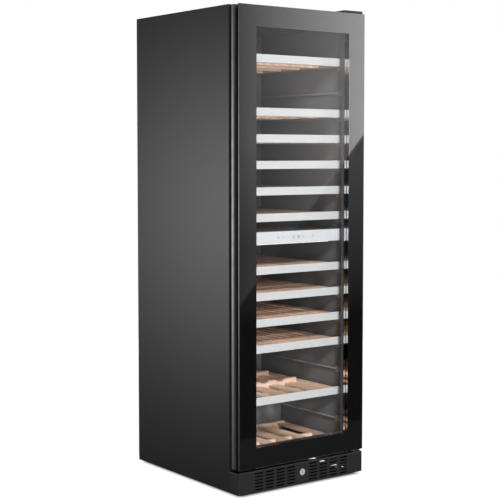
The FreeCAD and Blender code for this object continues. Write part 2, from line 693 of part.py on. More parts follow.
def duct_cover(low, high, fan_level):
    """A cover sheet over the evaporator, with intake slots and a fan grille."""
    sheet = block(("-liner_half", "duct_face", low), ("liner_half", "duct_face + duct_sheet", high))
    cuts = []
    for line in range(6):
        at = f"{low} + 60 + {line} * vent_pitch"
        cuts.append(block(("-vent_half", "duct_face - 1", at),
                          ("vent_half", "duct_face + duct_sheet + 1", f"{at} + vent_height")))
    for line in range(-3, 4):
        reach = round(math.sqrt(1 - (line * size("vent_pitch") / size("fan_radius") / 1.05) ** 2), 4)
        at = f"{fan_level} + {line} * vent_pitch - vent_height / 2"
        cuts.append(block((f"-fan_radius * {reach}", "duct_face - 1", at),
                          (f"fan_radius * {reach}", "duct_face + duct_sheet + 1",
                           f"{at} + vent_height")))
    return less(sheet, *cuts)


node("duct_covers", grouped(duct_cover("divider_high", "interior_high", "upper_fan_level"),
                            duct_cover("hump_top", "divider_low", "lower_fan_level")))


def fan_blades(radius, count, slant):
    """Flat blades set aslant round a hub, about the local Z axis."""
    blades = []
    hub, depth = size("fan_hub"), size("fan_depth")
    for number in range(count):
        blade = Part.makeBox(radius - hub + 1, 1.5, depth * 1.25,
                             Vector(hub - 1, -0.75, -depth * 0.625))
        blade.rotate(Vector(), Vector(1, 0, 0), slant)
        blade.rotate(Vector(), Vector(0, 0, 1), 360 * number / count)
        blades.append(blade)
    return blades


def fan_rotor(radius, axis, count=7, slant=52):
    """A fan wheel centred on its hub, turning on a thin shaft."""
    depth = size("fan_depth")
    hub = Part.makeCylinder(size("fan_hub"), depth, Vector(0, 0, -depth / 2))
    wheel = hub.multiFuse(fan_blades(radius, count, slant))
    hole = Part.makeCylinder(size("shaft_radius") + size("shaft_clear"), depth + 2,
                             Vector(0, 0, -depth / 2 - 1))
    item = DOC.addObject("Part::Feature", "Rotor")
    item.Shape = wheel.cut(hole).removeSplitter()
    item.Placement.Rotation = TURNS[axis]
    return item


inside_radius = size("fan_radius") - size("fan_clear")
side_radius = size("condenser_fan_radius") - size("fan_clear")
rotor_mid = "(rotor_front + rotor_rear) / 2"
node("upper_fan", place(fan_rotor(inside_radius, "y"), "0", rotor_mid, "upper_fan_level"))
node("lower_fan", place(fan_rotor(inside_radius, "y"), "0", rotor_mid, "lower_fan_level"))
node("condenser_fan", place(fan_rotor(side_radius, "x"), "(side_rotor_low + side_rotor_high) / 2",
                            "condenser_mid_y", "condenser_mid_z"))


def inside_motor(fan_level):
    """A small fan motor on the rear wall of the liner, with its shaft."""
    return joined(rod(("0", "motor_front", fan_level), "motor_radius", "motor_length", "y"),
                  rod(("0", "rotor_front - 1", fan_level), "shaft_radius",
                      "motor_front - rotor_front + 2", "y"))


side_motor = joined(
    rod(("side_rotor_low - 1 - motor_length", "condenser_mid_y", "condenser_mid_z"),
        "motor_radius", "motor_length", "x"),
    rod(("side_rotor_low - 2", "condenser_mid_y", "condenser_mid_z"), "shaft_radius",
        "fan_depth + 3", "x"),
    block(("side_rotor_low - 1 - motor_length", "condenser_mid_y - 5", "tray_level + tray_thick"),
          ("side_rotor_low - 4 - motor_length / 2", "condenser_mid_y + 5", "condenser_mid_z")))
node("fan_motors", grouped(inside_motor("upper_fan_level"), inside_motor("lower_fan_level"),
                           side_motor))

# ---------------------------------------------------------------- cooling system

def finned(low, high, tubes):
    """A heat exchanger: thin fins threaded on tubes that run along X."""
    width = f"(({high[0]}) - ({low[0]}))"
    count = int((measured(high[0]) - measured(low[0])) // size("fin_pitch"))
    fins = [block((f"{low[0]} + {number} * {width} / {count} - fin / 2 + fin", low[1], low[2]),
                  (f"{low[0]} + {number} * {width} / {count} + fin / 2 + fin", high[1], high[2]))
            for number in range(count)]
    pipes = [rod((low[0], y, z), "tube_radius", width, "x") for y, z in tubes]
    return joined(*fins, *pipes)


condenser_tubes = [(f"condenser_front + {step} * condenser_length / 4",
                    f"condenser_low + {rise} * condenser_height / 5")
                   for step in (1, 2, 3) for rise in (1, 2, 3, 4)]
condenser_core = finned(
    ("condenser_left", "condenser_front", "condenser_low"),
    ("condenser_left + condenser_width", "condenser_front + condenser_length",
     "condenser_low + condenser_height"), condenser_tubes)
shroud_plate = less(
    block(("shroud_left", "condenser_front", "tray_level + tray_thick"),
          ("shroud_left + shroud", "condenser_front + condenser_length",
           "condenser_low + condenser_height")),
    rod(("shroud_left - 1", "condenser_mid_y", "condenser_mid_z"), "condenser_fan_radius",
        "shroud + 2", "x"))
node("condenser", grouped(condenser_core, shroud_plate))


def evaporator(low):
    """The finned cooler of one zone."""
    tubes = [(f"evaporator_front + evaporator_depth / 2", f"{low} + {step} * evaporator_height / 4")
             for step in (1, 2, 3)]
    return finned(("-evaporator_half", "evaporator_front", low),
                  ("evaporator_half", "evaporator_front + evaporator_depth",
                   f"{low} + evaporator_height"), tubes)


node("evaporators", grouped(evaporator("upper_evaporator"), evaporator("lower_evaporator")))

shell = turned([("0", "0"), ("compressor_radius * 0.72", "0"), ("compressor_radius", "18"),
                ("compressor_radius", "compressor_height - 34"),
                ("compressor_radius * 0.88", "compressor_height - 14"),
                ("compressor_radius * 0.5", "compressor_height"), ("0", "compressor_height")],
               "compressor_x", "compressor_y", "compressor_low")
mounting = block(("compressor_x - 88", "compressor_y - 62", "compressor_low - 3"),
                 ("compressor_x + 88", "compressor_y + 62", "compressor_low"))
bushes = [rod((f"compressor_x + {x} * 76", f"compressor_y + {y} * 50", "tray_level + tray_thick"),
              "8", "compressor_low - 3 - tray_level - tray_thick") for x in (-1, 1) for y in (-1, 1)]
stub = rod(("compressor_x + compressor_radius - 12", "compressor_y", "compressor_low + 90"),
           "5", "30", "x")
node("compressor", joined(shell, mounting, stub, *bushes))

# ---------------------------------------------------------------- lights, electrics, rear cover

node("led_strips", grouped(*[
    block(("-light_half", "light_front", f"{under} - light_height"),
          ("light_half", "light_front + light_width", under))
    for under in ("interior_high", "divider_low")]))

service = block(("-half", "rear_in", "service_low"), ("half", "rear", "well_top"))
service_cuts = []
for column in range(-2, 3):
    for line in range(10):
        low = f"service_low + 90 + {line} * service_row"
        service_cuts.append(block((f"{column} * service_pitch + 60 - service_slot / 2",
                                   "rear_in - 1", low),
                                  (f"{column} * service_pitch + 60 + service_slot / 2",
                                   "rear + 1", f"{low} + vent_height")))
inlet_low = ("inlet_x - inlet_width / 2", "rear - inlet_depth", "inlet_level - inlet_height / 2")
inlet_high = ("inlet_x + inlet_width / 2", "rear", "inlet_level + inlet_height / 2")
opening = block((f"{inlet_low[0]} - inlet_fit", "rear_in - 1", f"{inlet_low[2]} - inlet_fit"),
                (f"{inlet_high[0]} + inlet_fit", "rear + 1", f"{inlet_high[2]} + inlet_fit"))
node("service_grille", less(service, *service_cuts, opening))
socket = less(block(inlet_low, inlet_high),
              block((f"{inlet_low[0]} + inlet_wall", f"{inlet_low[1]} + inlet_wall",
                     f"{inlet_low[2]} + inlet_wall"),
                    (f"{inlet_high[0]} - inlet_wall", "rear + 1", f"{inlet_high[2]} - inlet_wall")))
prongs = [block((f"inlet_x + {step} * 7 - 1", "rear - inlet_depth + 1", f"inlet_level + {lift} - 2"),
                (f"inlet_x + {step} * 7 + 1", "rear - 5", f"inlet_level + {lift} + 2"))
          for step, lift in ((-1, -2), (0, 2), (1, -2))]
node("power_inlet", joined(socket, *prongs))

node("control_box", block(("box_left", "box_front", "box_low"),
                          ("box_right", "box_rear", "box_high")))

# ---------------------------------------------------------------- test and write

DOC.recompute()
for item in DOC.Objects:
    bad = {"Invalid", "Error"} & set(item.State)
    if bad:
        raise SystemExit(f"{item.Name} ({item.Label}) is {', '.join(bad)}")
os.makedirs("parts", exist_ok=True)
for label, item in NODES.items():
    if item.Shape.isNull() or not item.Shape.isValid() or not item.Shape.Solids:
        raise SystemExit(f"{label} has no valid solid")
    item.Shape.exportStep(f"parts/{label}.step")
    box = item.Shape.BoundBox
    print(f"{label}: {len(item.Shape.Solids)} solids, "
          f"x {box.XMin:.1f}..{box.XMax:.1f} y {box.YMin:.1f}..{box.YMax:.1f} "
          f"z {box.ZMin:.1f}..{box.ZMax:.1f}")
print(len(NODES), "nodes")
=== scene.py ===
"""A tall two-zone wine cooler: its finishes, its finely made pieces and the studio it stands in."""

import logging
import math
from abc import ABC, abstractmethod
from collections.abc import Callable, Iterable
from dataclasses import dataclass, replace
from enum import Enum

import bpy
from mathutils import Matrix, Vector


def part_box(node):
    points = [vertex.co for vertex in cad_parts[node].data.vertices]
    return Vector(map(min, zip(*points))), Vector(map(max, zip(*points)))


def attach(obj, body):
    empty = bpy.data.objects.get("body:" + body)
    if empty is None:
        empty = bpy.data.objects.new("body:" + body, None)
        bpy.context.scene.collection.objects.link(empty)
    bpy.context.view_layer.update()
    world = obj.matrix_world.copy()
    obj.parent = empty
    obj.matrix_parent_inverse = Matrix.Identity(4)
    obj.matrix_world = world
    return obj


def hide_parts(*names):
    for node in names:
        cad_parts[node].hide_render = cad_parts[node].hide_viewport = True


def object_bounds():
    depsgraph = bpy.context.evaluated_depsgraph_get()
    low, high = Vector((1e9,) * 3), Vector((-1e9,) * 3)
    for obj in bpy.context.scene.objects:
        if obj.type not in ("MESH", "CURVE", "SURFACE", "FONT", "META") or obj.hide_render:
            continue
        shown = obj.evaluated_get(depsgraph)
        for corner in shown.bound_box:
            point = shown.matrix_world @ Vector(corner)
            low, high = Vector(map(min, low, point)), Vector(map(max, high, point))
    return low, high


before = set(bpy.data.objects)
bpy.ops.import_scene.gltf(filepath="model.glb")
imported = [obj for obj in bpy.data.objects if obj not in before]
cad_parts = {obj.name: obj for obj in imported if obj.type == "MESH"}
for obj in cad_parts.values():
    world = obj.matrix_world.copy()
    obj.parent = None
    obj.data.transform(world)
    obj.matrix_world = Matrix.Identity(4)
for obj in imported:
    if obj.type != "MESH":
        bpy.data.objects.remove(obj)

LOG = logging.getLogger("wine_cooler")
CAD_BOX = [list(corner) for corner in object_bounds()]
MM = 0.001

Point = tuple[float, float, float]
Colour = tuple[float, float, float]
Range = tuple[float, float]
Socket = bpy.types.NodeSocket


# ---------------------------------------------------------------- modelling by hand


class Axis(Enum):
    """A direction of the object's own frame."""

    X = 0
    Y = 1
    Z = 2


def deselect() -> None:
    """Leave nothing selected, so that the next operator acts on its own piece only."""
    if bpy.context.object and bpy.context.object.mode != "OBJECT":
        bpy.ops.object.mode_set(mode="OBJECT")
    bpy.ops.object.select_all(action="DESELECT")


def activate(*pieces: bpy.types.Object) -> None:
    """Select these pieces alone and make the first one active.

    Args:
        pieces: The pieces to select.
    """
    deselect()
    for piece in pieces:
        piece.select_set(True)
    bpy.context.view_layer.objects.active = pieces[0]


def settle(piece: bpy.types.Object) -> bpy.types.Object:
    """Put a piece's place, turn and size into its mesh.

    Args:
        piece: A new piece.

    Returns:
        The same piece, standing at the origin.
    """
    activate(piece)
    bpy.ops.object.transform_apply(location=True, rotation=True, scale=True)
    return piece


def box(name: str, low: Iterable[float], high: Iterable[float]) -> bpy.types.Object:
    """Add a block between two corners.

    Args:
        name: The piece's name.
        low: Its lowest corner, in metres.
        high: Its highest corner, in metres.

    Returns:
        The new piece.
    """
    low, high = Vector(low), Vector(high)
    deselect()
    bpy.ops.mesh.primitive_cube_add(size=1, location=(low + high) / 2)
    piece = bpy.context.object
    piece.name = name
    piece.scale = high - low
    return settle(piece)


def rod(name: str, centre: Point, radius: float, length: float, axis: Axis = Axis.Z,
        sides: int = 32) -> bpy.types.Object:
    """Add a round bar about its middle point.

    Args:
        name: The piece's name.
        centre: Its middle, in metres.
        radius: Its radius.
        length: Its length.
        axis: The direction that it runs in.
        sides: How many faces go round it.

    Returns:
        The new piece.
    """
    turn = {Axis.X: (0, math.pi / 2, 0), Axis.Y: (math.pi / 2, 0, 0), Axis.Z: (0, 0, 0)}[axis]
    deselect()
    bpy.ops.mesh.primitive_cylinder_add(vertices=sides, radius=radius, depth=length,
                                        location=centre, rotation=turn)
    piece = bpy.context.object
    piece.name = name
    return settle(piece)


def apply_modifiers(piece: bpy.types.Object) -> bpy.types.Object:
    """Apply every modifier of a piece, in order."""
    activate(piece)
    for modifier in list(piece.modifiers):
        bpy.ops.object.modifier_apply(modifier=modifier.name)
    return piece


def rounded(piece: bpy.types.Object, width: float, segments: int = 2,
            angle: float = 40) -> bpy.types.Object:
    """Round a piece's sharp edges.

    Args:
        piece: The piece.
        width: How far the rounding reaches from an edge.
        segments: How many faces it has.
        angle: Edges sharper than this many degrees are rounded.

    Returns:
        The same piece.
    """
    bevel = piece.modifiers.new("Rounding", "BEVEL")
    bevel.width = width
    bevel.segments = segments
    bevel.limit_method = "ANGLE"
    bevel.angle_limit = math.radians(angle)
    bevel.use_clamp_overlap = True
    return smooth(apply_modifiers(piece))


def smooth(piece: bpy.types.Object, angle: float = 35) -> bpy.types.Object:
    """Shade a piece smooth except over sharp edges, with its broad faces left flat."""
    activate(piece)
    bpy.ops.object.shade_smooth_by_angle(angle=math.radians(angle))
    weighted = piece.modifiers.new("Flat faces", "WEIGHTED_NORMAL")
    weighted.weight = 100
    weighted.keep_sharp = True
    return apply_modifiers(piece)


def cut(piece: bpy.types.Object, *tools: bpy.types.Object) -> bpy.types.Object:
    """Cut other pieces out of one, and remove them.

    Args:
        piece: The piece that stays.
        tools: The pieces that are cut out of it.

    Returns:
        The piece.
    """
    tool = joined(tools[0].name, *tools) if len(tools) > 1 else tools[0]
    boolean = piece.modifiers.new("Cut", "BOOLEAN")
    boolean.operation = "DIFFERENCE"
    boolean.solver = "EXACT"
    boolean.use_self = len(tools) > 1
    boolean.object = tool
    apply_modifiers(piece)
    bpy.data.objects.remove(tool)
    return piece


def joined(name: str, *pieces: bpy.types.Object) -> bpy.types.Object:
    """Make several pieces one object.

    Args:
        name: The whole's name.
        pieces: The pieces, each keeping its own finish.

    Returns:
        The joined object.
    """
    activate(*pieces)
    if len(pieces) > 1:
        bpy.ops.object.join()
    whole = bpy.context.object
    whole.name = name
    return whole


def copied(piece: bpy.types.Object, name: str, shift: Point) -> bpy.types.Object:
    """Copy a piece with a mesh of its own.

    Args:
        piece: The piece to copy.
        name: The copy's name.
        shift: How far the copy is moved, in metres.

    Returns:
        The copy.
    """
    activate(piece)
    bpy.ops.object.duplicate(linked=False)
    twin = bpy.context.object
    twin.name = name
    twin.location = shift
    return settle(twin)


def select_faces(piece: bpy.types.Object,
                 wanted: Callable[[bpy.types.MeshPolygon], bool]) -> None:
    """Enter edit mode with only some faces selected.

    Args:
        piece: The piece to edit.
        wanted: Tells whether a face is selected.
    """
    activate(piece)
    bpy.ops.object.mode_set(mode="EDIT")
    bpy.ops.mesh.select_mode(type="FACE")
    bpy.ops.mesh.select_all(action="DESELECT")
    bpy.ops.object.mode_set(mode="OBJECT")
    for face in piece.data.polygons:
        face.select = wanted(face)
    bpy.ops.object.mode_set(mode="EDIT")


def edit_all(piece: bpy.types.Object) -> None:
    """Enter edit mode with the whole piece selected."""
    activate(piece)
    bpy.ops.object.mode_set(mode="EDIT")
    bpy.ops.mesh.select_all(action="SELECT")


def leave_edit() -> None:
    """Go back to object mode."""
    bpy.ops.object.mode_set(mode="OBJECT")


def facing(axis: Axis, sign: int) -> Callable[[bpy.types.MeshPolygon], bool]:
    """A test for faces that look along an axis.

    Args:
        axis: The axis.
        sign: +1 or -1 for its direction.

    Returns:
        The test, for select_faces.
    """
    return lambda face: face.normal[axis.value] * sign > 0.9


# ---------------------------------------------------------------- finishes


def toned(colour: Colour, share: float) -> Colour:
    """The same hue, darker or lighter by a share."""
    return tuple(part * share for part in colour)


class Graph:
    """A material's nodes, added and linked one after another."""

    def __init__(self, name: str) -> None:
        """Start a material with a Principled surface."""
        self.material = bpy.data.materials.new(name)
        self.material.use_nodes = True
        self.tree = self.material.node_tree
        self.surface = self.tree.nodes["Principled BSDF"]
        self.output = self.tree.nodes["Material Output"]

    def add(self, kind: str, **values: object) -> bpy.types.Node:
        """Add a node.

        Args:
            kind: The node's type name without its ShaderNode prefix.
            values: Its own settings, or its inputs by name with _ for a space.

        Returns:
            The node.
        """
        node = self.tree.nodes.new("ShaderNode" + kind)
        for key, value in values.items():
            socket = next((s for s in node.inputs if s.name == key.replace("_", " ")), None)
            if socket is not None and not hasattr(node, key):
                socket.default_value = value
            else:
                setattr(node, key, value)
        return node

    def link(self, source: Socket, target: Socket) -> None:
        """Join an output to an input."""
        self.tree.links.new(source, target)

    def place(self, scale: Point = (1, 1, 1)) -> Socket:
        """Object coordinates, stretched.

        Args:
            scale: The stretch along each axis.

        Returns:
            The coordinates.
        """
        coordinates = self.add("TexCoord")
        mapping = self.add("Mapping")
        mapping.inputs["Scale"].default_value = scale
        self.link(coordinates.outputs["Object"], mapping.inputs["Vector"])
        return mapping.outputs["Vector"]

    def parts(self, scale: Point = (1, 1, 1)) -> list[Socket]:
        """Object coordinates, one by one.

        Args:
            scale: The stretch along each axis.

        Returns:
            The X, Y and Z values.
        """
        split = self.add("SeparateXYZ")
        self.link(self.place(scale), split.inputs["Vector"])
        return list(split.outputs)

    def noise(self, scale: float, stretch: Point = (1, 1, 1), detail: float = 3,
              roughness: float = 0.55) -> Socket:
        """A noise pattern over the piece.

        Args:
            scale: How fine it is.
            stretch: How it is drawn out along each axis.
            detail: Its octaves.
            roughness: How strong the fine octaves are.

        Returns:
            The pattern's value.
        """
        node = self.add("TexNoise", Scale=scale, Detail=detail, Roughness=roughness)
        self.link(self.place(stretch), node.inputs["Vector"])
        return node.outputs["Fac"]

    def ramp(self, source: Socket,
             stops: Iterable[tuple[float, tuple[float, ...]]]) -> Socket:
        """Turn a value into a colour.

        Args:
            source: The value.
            stops: Pairs of position and colour.

        Returns:
            The colour.
        """
        node = self.add("ValToRGB")
        stops = list(stops)
        while len(node.color_ramp.elements) < len(stops):
            node.color_ramp.elements.new(0.5)
        for element, (position, colour) in zip(node.color_ramp.elements, stops):
            element.position = position
            element.color = (*colour, 1) if len(colour) == 3 else colour
        self.link(source, node.inputs["Fac"])
        return node.outputs["Color"]

    def range(self, source: Socket, low: float, high: float,
              start: float = 0.3, end: float = 0.7) -> Socket:
        """Stretch a value to a new range.

        Args:
            source: The value.
            low: What start becomes.
            high: What end becomes.
            start: The value's usual low.
            end: The value's usual high.

        Returns:
            The new value.
        """
        node = self.add("MapRange")
        for name, number in (("From Min", start), ("From Max", end), ("To Min", low),
                             ("To Max", high)):
            node.inputs[name].default_value = number
        self.link(source, node.inputs["Value"])
        return node.outputs["Result"]

    def between(self, source: Socket, low: float, high: float, soft: float) -> Socket:
        """Tell where a value lies between two limits.

        Args:
            source: The value.
            low: The lower limit.
            high: The upper limit.
            soft: How far the answer fades outside the limits.

        Returns:
            1 between the limits and 0 well outside them.
        """
        return self.math("MULTIPLY", self.range(source, 0, 1, low - soft, low),
                         self.range(source, 1, 0, high, high + soft))

    def math(self, operation: str, *values: object) -> Socket:
        """Work out a value.

        Args:
            operation: The Math node's operation.
            values: Its inputs, each a socket or a number.

        Returns:
            The result.
        """
        node = self.add("Math")
        node.operation = operation
        for socket, value in zip(node.inputs, values):
            if isinstance(value, Socket):
                self.link(value, socket)
            else:
                socket.default_value = value
        return node.outputs["Value"]

    def blend(self, factor: object, first: object, second: object,
              kind: str = "MIX") -> Socket:
        """Mix two colours.

        Args:
            factor: The share of the second, a socket or a number.
            first: A colour or its socket.
            second: A colour or its socket.
            kind: The way of mixing.

        Returns:
            The mixed colour.
        """
        node = self.add("Mix")
        node.data_type = "RGBA"
        node.blend_type = kind
        for index, value in ((0, factor), (6, first), (7, second)):
            if isinstance(value, Socket):
                self.link(value, node.inputs[index])
            elif index:
                node.inputs[index].default_value = (*value, 1)
            else:
                node.inputs[index].default_value = value
        return node.outputs[2]

    def bump(self, source: Socket, strength: float, distance: float) -> None:
        """Raise and sink the surface by a pattern.

        Args:
            source: The height.
            strength: How much of it is used.
            distance: How high 1 is, in metres.
        """
        node = self.add("Bump", Strength=strength, Distance=distance)
        self.link(source, node.inputs["Height"])
        self.link(node.outputs["Normal"], self.surface.inputs["Normal"])

    def set(self, **values: object) -> None:
        """Set the surface's own inputs by name, with _ for a space."""
        for key, value in values.items():
            socket = self.surface.inputs[key.replace("_", " ")]
            if isinstance(value, Socket):
                self.link(value, socket)
            else:
                socket.default_value = (*value, 1) if isinstance(value, tuple) else value


@dataclass(frozen=True)
class Finish(ABC):
    """A surface finish; each one makes its material once."""

    name: str

    @abstractmethod
    def dress(self, graph: Graph) -> None:
        """Set up the finish's nodes."""

    def material(self) -> bpy.types.Material:
        """The finish's material, made on first use."""
        known = bpy.data.materials.get(self.name)
        if known is not None:
            return known
        graph = Graph(self.name)
        self.dress(graph)
        return graph.material

    def on(self, *pieces: bpy.types.Object) -> None:
        """Give every slot of these pieces this finish.

        Args:
            pieces: The pieces, or CAD nodes.
        """
        for piece in pieces:
            if not piece.material_slots:
                piece.data.materials.append(self.material())
            for slot in piece.material_slots:
                slot.material = self.material()


@dataclass(frozen=True)
class SatinPaint(Finish):
    """Powder coat with a faint orange peel and slightly uneven gloss."""

    colour: Colour = (0.004, 0.004, 0.0042)
    gloss: Range = (0.27, 0.33)
    peel: float = 0.06

    def dress(self, graph: Graph) -> None:
        """Fine peel over broad, faint changes of tone."""
        broad = graph.noise(5, detail=2)
        fine = graph.noise(650, detail=2)
        lighter = tuple(min(1, c * 1.25 + 0.0005) for c in self.colour)
        graph.set(Base_Color=graph.blend(broad, self.colour, lighter),
                  Roughness=graph.range(fine, *self.gloss))
        graph.bump(fine, self.peel, 0.0002)


@dataclass(frozen=True)
class MouldedPlastic(Finish):
    """Injection-moulded plastic with a fine spark-eroded grain."""

    colour: Colour = (0.02, 0.02, 0.02)
    gloss: Range = (0.42, 0.55)
    grain: float = 900
    depth: float = 0.15

    def dress(self, graph: Graph) -> None:
        """A pebbled grain with faint flow marks."""
        pebbles = graph.add("TexVoronoi", Scale=self.grain)
        graph.link(graph.place(), pebbles.inputs["Vector"])
        flow = graph.noise(9, (1, 1, 0.35), detail=4)
        graph.set(Base_Color=graph.blend(flow, toned(self.colour, 0.82), self.colour),
                  Roughness=graph.range(flow, *self.gloss))
        graph.bump(pebbles.outputs["Distance"], self.depth, 0.00015)


@dataclass(frozen=True)
class BrushedSteel(Finish):
    """Steel brushed along X and clear-coated, with fine streaks and a satin, almost white sheen."""

    colour: Colour = (0.45, 0.45, 0.447)
    gloss: Range = (0.34, 0.5)
    bare: float = 0.35

    def dress(self, graph: Graph) -> None:
        """Long streaks in tone, gloss and height."""
        streaks = graph.noise(60, (0.12, 40, 40), detail=6, roughness=0.7)
        graph.set(Base_Color=graph.blend(streaks, toned(self.colour, 0.86), self.colour),
                  Metallic=self.bare, Roughness=graph.range(streaks, *self.gloss),
                  Anisotropic=0.5)
        graph.bump(streaks, 0.05, 0.0001)


@dataclass(frozen=True)
class PlainMetal(Finish):
    """Bare or plated metal with faint handling marks."""

    colour: Colour = (0.7, 0.7, 0.7)
    gloss: Range = (0.16, 0.28)

    def dress(self, graph: Graph) -> None:
        """Cloudy gloss and sparse fine scratches."""
        clouds = graph.noise(40, detail=5)
        scratches = graph.noise(300, (1, 0.08, 1), detail=4, roughness=0.8)
        graph.set(Base_Color=graph.blend(clouds, toned(self.colour, 0.88), self.colour),
                  Metallic=1.0, Roughness=graph.range(clouds, *self.gloss))
        graph.bump(scratches, 0.03, 0.0001)


class Grain(Enum):
    """The direction that a piece of wood's grain runs in."""

    ALONG_X = (0.045, 1.0, 1.0)
    ALONG_Y = (1.0, 0.045, 1.0)


@dataclass(frozen=True)
class OiledBeech(Finish):
    """Oiled beech: straight fibres, short dark flecks and boards of different tone."""

    grain: Grain = Grain.ALONG_Y
    pale: Colour = (0.64, 0.455, 0.34)
    dark: Colour = (0.44, 0.285, 0.195)
    board: float = 40 * MM
    rows: float = 21.0

    def dress(self, graph: Graph) -> None:
        """Fibres, growth bands, flecks and a change of tone from board to board."""
        stretch = self.grain.value
        fibres = graph.noise(260, stretch, detail=6, roughness=0.65)
        bands = graph.noise(34, stretch, detail=3, roughness=0.5)
        flecks = graph.noise(900, (stretch[0] * 3, stretch[1] * 3, 1), detail=1)
        x, y, z = graph.parts()
        across = x if self.grain is Grain.ALONG_Y else y
        boards_out = graph.math("DIVIDE", across, self.board)
        column = graph.math("FLOOR", graph.math("ADD", boards_out, 0.5))
        row = graph.math("FLOOR", graph.math("MULTIPLY", z, self.rows))
        spot = graph.add("CombineXYZ")
        graph.link(column, spot.inputs["X"])
        graph.link(row, spot.inputs["Y"])
        chance = graph.add("TexWhiteNoise")
        graph.link(spot.outputs["Vector"], chance.inputs["Vector"])
        tone = graph.math("ADD", graph.math("MULTIPLY", bands, 0.62),
                          graph.math("MULTIPLY", fibres, 0.38))
        wood = graph.ramp(tone, ((0.36, self.dark), (0.5, self.pale),
                                 (0.66, tuple(min(1, c * 1.3) for c in self.pale))))
        shade = graph.range(chance.outputs["Value"], 0.72, 1.12, 0, 1)
        boards = graph.blend(1.0, wood, graph.ramp(shade, ((0.0, (0, 0, 0)), (1.0, (1, 1, 1)))),
                            "MULTIPLY")
        fleck = graph.range(flecks, 0, 0.55, 0.62, 0.72)
        graph.set(Base_Color=graph.blend(fleck, boards, self.dark),
                  Roughness=graph.range(fibres, 0.46, 0.62), Coat_Weight=0.08,
                  Coat_Roughness=0.35)
        graph.bump(fibres, 0.18, 0.0003)


@dataclass(frozen=True)
class SheetGlass(Finish):
    """Glass thin enough not to bend what is seen through it: tinted, with a clear mirror sheen.

    Where the border lies behind the glass, the ink's own gloss stands for the mirror sheen.
    """

    tint: Colour = (0.8, 0.82, 0.82)
    sheen: float = 0.05
    gloss: float = 0.01
    half_width: float = 1.0
    heights: Range = (-1.0, 3.0)

    def dress(self, graph: Graph) -> None:
        """A tinted see-through shader under a mirror one that grows towards a grazing view."""
        clear = graph.add("BsdfTransparent", Color=(*self.tint, 1))
        mirror = graph.add("BsdfGlossy", Color=(1, 1, 1, 1), Roughness=self.gloss)
        angle = graph.add("LayerWeight", Blend=0.5)
        grazing = graph.math("POWER", angle.outputs["Facing"], 5.0)
        smears = graph.noise(6, (1, 1, 0.5), detail=4)
        head_on = graph.range(smears, self.sheen * 0.96, self.sheen * 1.04)
        share = graph.math("ADD", head_on, graph.math("MULTIPLY", grazing, 1 - self.sheen))
        x, _, z = graph.parts()
        clear_area = graph.math("MULTIPLY",
                                graph.between(x, -self.half_width, self.half_width, MM),
                                graph.between(z, *self.heights, MM))
        share = graph.math("MULTIPLY", share, clear_area)
        mix = graph.add("MixShader")
        graph.link(share, mix.inputs["Fac"])
        graph.link(clear.outputs["BSDF"], mix.inputs[1])
        graph.link(mirror.outputs["BSDF"], mix.inputs[2])
        graph.tree.nodes.remove(graph.surface)
        graph.link(mix.outputs["Shader"], graph.output.inputs["Surface"])


@dataclass(frozen=True)
class PrintedBorder(Finish):
    """Black ceramic ink, fired on the glass's inner face."""

    colour: Colour = (0.0015, 0.0015, 0.0016)
    gloss: Range = (0.015, 0.025)

    def dress(self, graph: Graph) -> None:
        """Dense ink with a faint stipple, glossy where it meets the glass."""
        stipple = graph.noise(1400, detail=1)
        graph.set(Base_Color=graph.blend(stipple, self.colour, toned(self.colour, 1.6)),
                  Roughness=graph.range(stipple, *self.gloss), Specular_IOR_Level=1.0, IOR=1.62)


@dataclass(frozen=True)
class ChannelCoat(Finish):
    """Black powder coat on the grip profile, dull inside its channel and painted much darker there,
    as painted shade in the recess.
    """

    colour: Colour = (0.012, 0.012, 0.0125)
    # painted shade: the near-black colour painted inside the channel
    shade: Colour = (0.0012, 0.0012, 0.0012)
    channel: Range = (-334.7 * MM, -308 * MM)

    def dress(self, graph: Graph) -> None:
        """A fine-grained coat that turns matt between the channel's front and rear lips, where its
        colour is also painted near black as painted shade.
        """
        depth = graph.parts()[Axis.Y.value]
        inside = graph.between(depth, *self.channel, 0.5 * MM)
        grain = graph.noise(900, detail=2)
        coat = graph.blend(grain, self.colour, toned(self.colour, 1.5))
        dull = graph.math("MULTIPLY", inside, 0.45)
        # between the lips the colour is painted shade, not the coat's own black
        graph.set(Base_Color=graph.blend(inside, coat, self.shade),
                  Roughness=graph.math("ADD", dull, graph.range(grain, 0.3, 0.4)),
                  Specular_IOR_Level=0.3)
        graph.bump(grain, 0.06, 0.0001)


@dataclass(frozen=True)
class SoftRubber(Finish):
    """Soft black sealing rubber with a dusty bloom."""

    colour: Colour = (0.012, 0.012, 0.012)

    def dress(self, graph: Graph) -> None:
        """A matt surface with faint bloom."""
        bloom = graph.noise(30, detail=5)
        graph.set(Base_Color=graph.blend(bloom, self.colour, (0.022, 0.022, 0.022)),
                  Roughness=graph.range(bloom, 0.62, 0.78))
        graph.bump(graph.noise(500), 0.08, 0.0002)


@dataclass(frozen=True)
class LampCover(Finish):
    """A milky diffuser over light-emitting diodes."""

    glow: float = 0.5
    spacing: float = 16 * MM

    def dress(self, graph: Graph) -> None:
        """Evenly spaced bright spots under a milky cover."""
        along = graph.parts((1 / self.spacing, 1, 1))[Axis.X.value]
        near = graph.math("ABSOLUTE", graph.math("SUBTRACT", graph.math("FRACT", along), 0.5))
        spots = graph.range(near, 1.0, 0.75, 0.0, 0.5)
        graph.set(Base_Color=graph.ramp(spots, ((0, (0.7, 0.7, 0.68)), (1, (0.9, 0.9, 0.88)))),
                  Roughness=0.4, Emission_Color=(1.0, 0.97, 0.92), Emission_Strength=self.glow)


